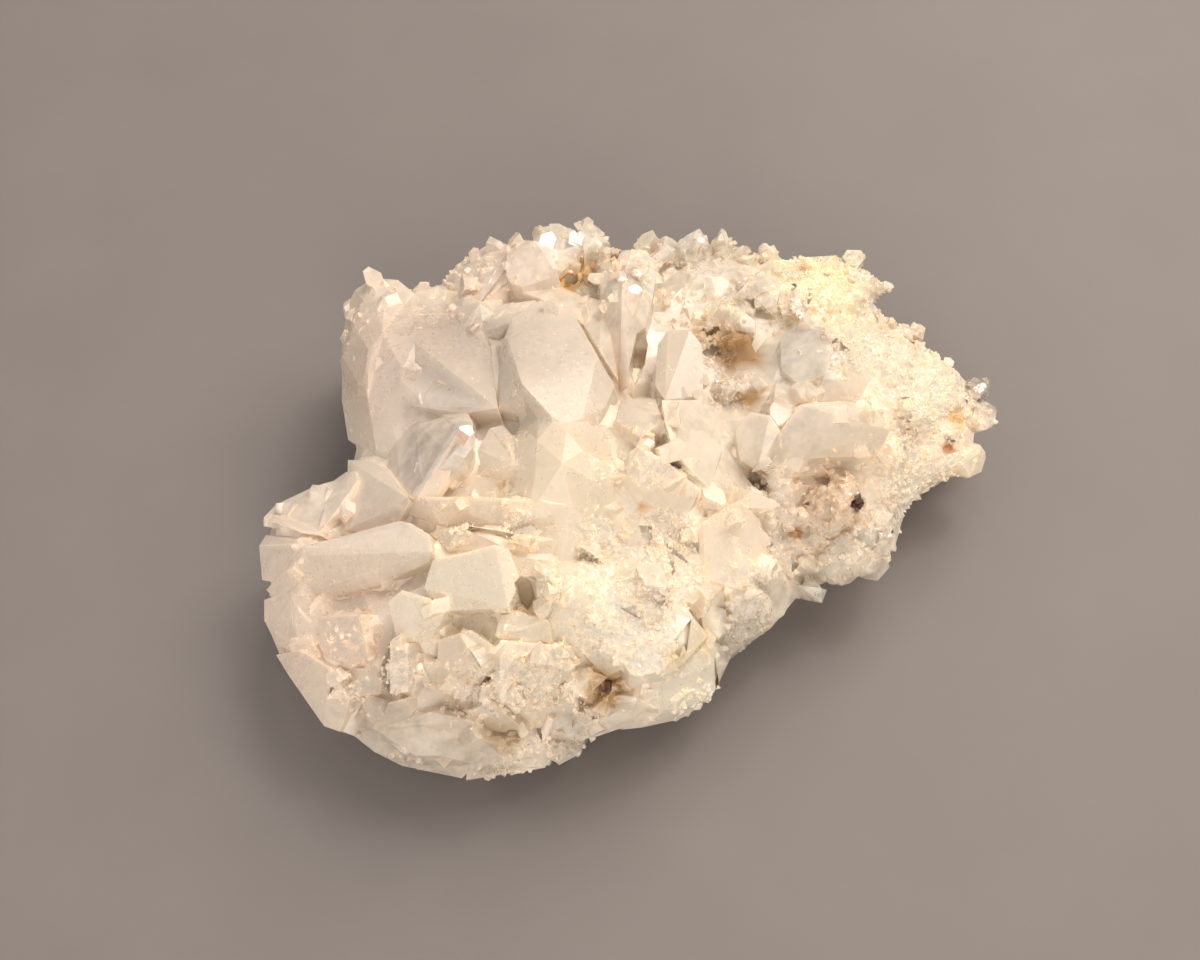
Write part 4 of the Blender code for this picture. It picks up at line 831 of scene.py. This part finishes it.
def quartz(name, clear_low, clear_high, rough_low, rough_high, bump, sss):
    """Milky to clear quartz: how much light goes through follows the milk attribute."""
    m, t, shader = material(name)
    place = t.nodes.new("ShaderNodeTexCoord")
    milk_, tint_, stain_shade_node = attribute(t, "milk"), attribute(t, "tint"), attribute(t, "stain_and_shade")
    cloud = noise_node(t, place, 190.0, 5.0, 0.6)
    mixed = t.nodes.new("ShaderNodeMath"); mixed.operation = "MULTIPLY_ADD"
    t.links.new(cloud.outputs["Fac"], mixed.inputs[0])
    mixed.inputs[1].default_value = 0.9
    t.links.new(milk_.outputs["Fac"], mixed.inputs[2])
    through = map_range(t, mixed.outputs[0], 0.40, 1.05, clear_high, clear_low)
    # stained places and painted shade let less light through
    opaque = map_range(t, stain_shade_node.outputs["Fac"], 0.0, 1.0, 1.0, 0.25)
    both = t.nodes.new("ShaderNodeMath"); both.operation = "MULTIPLY"
    t.links.new(through.outputs[0], both.inputs[0])
    t.links.new(opaque.outputs[0], both.inputs[1])
    t.links.new(both.outputs[0], shader.inputs["Transmission Weight"])
    # colour: the zone's tint, mottled
    mottle = noise_node(t, place, 420.0, 4.0, 0.6)
    shade = map_range(t, mottle.outputs["Fac"], 0.3, 0.7, 0.94, 1.03)
    product = t.nodes.new("ShaderNodeVectorMath"); product.operation = "SCALE"
    t.links.new(tint_.outputs["Color"], product.inputs[0])
    t.links.new(shade.outputs[0], product.inputs["Scale"])
    t.links.new(product.outputs[0], shader.inputs["Base Color"])
    # milky faces are frosted, clear ones polished
    rough = noise_node(t, place, 300.0, 6.0, 0.65)
    rough_mix = t.nodes.new("ShaderNodeMath"); rough_mix.operation = "MULTIPLY_ADD"
    t.links.new(rough.outputs["Fac"], rough_mix.inputs[0])
    rough_mix.inputs[1].default_value = 1.0
    t.links.new(milk_.outputs["Fac"], rough_mix.inputs[2])
    rough_map = map_range(t, rough_mix.outputs[0], 0.5, 1.5, rough_low, rough_high)
    polish = map_range(t, attribute(t, "fine").outputs["Fac"], 0.0, 0.8, 1.0, 0.22)
    polished = t.nodes.new("ShaderNodeMath"); polished.operation = "MULTIPLY"
    t.links.new(rough_map.outputs[0], polished.inputs[0])
    t.links.new(polish.outputs[0], polished.inputs[1])
    t.links.new(polished.outputs[0], shader.inputs["Roughness"])
    fine = noise_node(t, place, 900.0, 4.0, 0.6)
    b = t.nodes.new("ShaderNodeBump")
    b.inputs["Strength"].default_value = bump
    b.inputs["Distance"].default_value = 0.0003
    t.links.new(fine.outputs["Fac"], b.inputs["Height"])
    sugar = cells(t, place, 2300.0)
    own = map_range(t, attribute(t, "fine").outputs["Fac"], 0.05, 0.75, 0.0, 0.90)
    chips = cells(t, place, 620.0)
    dot = map_range(t, chips.outputs["Distance"], 0.18, 0.22, 0.35, 0.0)
    normal = b.outputs["Normal"]
    for which, amount in ((sugar, own), (chips, dot)):
        middle = t.nodes.new("ShaderNodeVectorMath"); middle.operation = "SUBTRACT"
        t.links.new(which.outputs["Color"], middle.inputs[0])
        middle.inputs[1].default_value = (0.5, 0.5, 0.5)
        lean = t.nodes.new("ShaderNodeVectorMath"); lean.operation = "SCALE"
        t.links.new(middle.outputs[0], lean.inputs[0])
        t.links.new(amount.outputs[0], lean.inputs["Scale"])
        total = t.nodes.new("ShaderNodeVectorMath"); total.operation = "ADD"
        t.links.new(normal, total.inputs[0])
        t.links.new(lean.outputs[0], total.inputs[1])
        normal = total.outputs[0]
    unit = t.nodes.new("ShaderNodeVectorMath"); unit.operation = "NORMALIZE"
    t.links.new(normal, unit.inputs[0])
    t.links.new(unit.outputs[0], shader.inputs["Normal"])
    shader.inputs["IOR"].default_value = 1.544
    shader.subsurface_method = "BURLEY"
    shader.inputs["Subsurface Weight"].default_value = 1.0
    shader.inputs["Subsurface Radius"].default_value = (1.0, 0.74, 0.52)
    shader.inputs["Subsurface Scale"].default_value = sss
    # quartz takes almost nothing from the light: a trace of warmth over a long path
    inside = t.nodes.new("ShaderNodeVolumeAbsorption")
    inside.inputs["Color"].default_value = (0.985, 0.95, 0.88, 1.0)
    inside.inputs["Density"].default_value = 30.0
    end = next(n for n in t.nodes if n.type == "OUTPUT_MATERIAL")
    t.links.new(inside.outputs[0], end.inputs["Volume"])
    return m


skin_mesh.materials.clear()
skin_mesh.materials.append(quartz("quartz_skin", 0.26, 0.88, 0.03, 0.34, 0.12, 0.0014))

m, t, shader = material("milky_veils")
place = t.nodes.new("ShaderNodeTexCoord")
tint_ = attribute(t, "tint")
cloud = noise_node(t, place, 320.0, 6.0, 0.65)
shade = map_range(t, cloud.outputs["Fac"], 0.32, 0.62, 0.92, 1.12)
product = t.nodes.new("ShaderNodeVectorMath"); product.operation = "SCALE"
t.links.new(tint_.outputs["Color"], product.inputs[0])
t.links.new(shade.outputs[0], product.inputs["Scale"])
t.links.new(product.outputs[0], shader.inputs["Base Color"])
shader.inputs["Roughness"].default_value = 0.7
shader.inputs["Specular IOR Level"].default_value = 0.0
inner.materials.clear()
inner.materials.append(m)

# ------------------------------------------------------------------ pieces
for piece in (skin_object, veil_object):
    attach(piece, "root")
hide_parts(NODE)

# ------------------------------------------------------------------ floor and light
floor_mesh = bpy.data.meshes.new("floor")
floor_mesh.from_pydata([(-3, -3, 0), (3, -3, 0), (3, 3, 0), (-3, 3, 0)], [], [(0, 1, 2, 3)])
floor_object = bpy.data.objects.new("floor", floor_mesh)
scene.collection.objects.link(floor_object)
m, t, shader = material("floor")
place = t.nodes.new("ShaderNodeTexCoord")
grain = noise_node(t, place, 30.0, 4.0, 0.5)
shade = map_range(t, grain.outputs["Fac"], 0.3, 0.7, 0.97, 1.03)
product = t.nodes.new("ShaderNodeVectorMath"); product.operation = "SCALE"
product.inputs[0].default_value = (0.212, 0.184, 0.171)
t.links.new(shade.outputs[0], product.inputs["Scale"])
t.links.new(product.outputs[0], shader.inputs["Base Color"])
shader.inputs["Roughness"].default_value = 0.62
floor_mesh.materials.append(m)


def lamp(name, where, size, power, colour, aim=(0.0, 0.0, 0.02)):
    light = bpy.data.lights.new(name, "AREA")
    light.shape = "DISK"
    light.energy, light.size, light.color = power, size, colour
    o = bpy.data.objects.new(name, light)
    o.location = where
    o.rotation_euler = (Vector(aim) - Vector(where)).to_track_quat("-Z", "Y").to_euler()
    scene.collection.objects.link(o)


lamp("key", (0.48, 0.60, 0.84), 1.05, 9.9, (1.0, 0.91, 0.81))
lamp("window", WINDOW, 0.24, 1.8, (0.97, 0.98, 1.0))
lamp("pane_a", (0.10, 0.78, 0.86), 0.10, 0.5, (1.0, 0.98, 0.95))
lamp("pane_b", (0.72, 0.22, 0.88), 0.10, 0.5, (1.0, 0.98, 0.95))
lamp("pane_c", (-0.26, 0.52, 1.00), 0.10, 0.4, (1.0, 0.98, 0.95))
lamp("fill", (-0.90, -0.10, 0.70), 0.90, 2.2, (0.98, 0.97, 0.98))
lamp("front", (0.10, -1.00, 0.52), 1.10, 8.0, (1.0, 0.95, 0.89))
world = bpy.data.worlds.new("studio")
world.use_nodes = True
back = next(n for n in world.node_tree.nodes if n.type == "BACKGROUND")
back.inputs[0].default_value = (1.0, 0.945, 0.88, 1.0)
back.inputs[1].default_value = 0.39
scene.world = world
scene.view_settings.view_transform = "Standard"
scene.view_settings.exposure = 0.0

base.free()
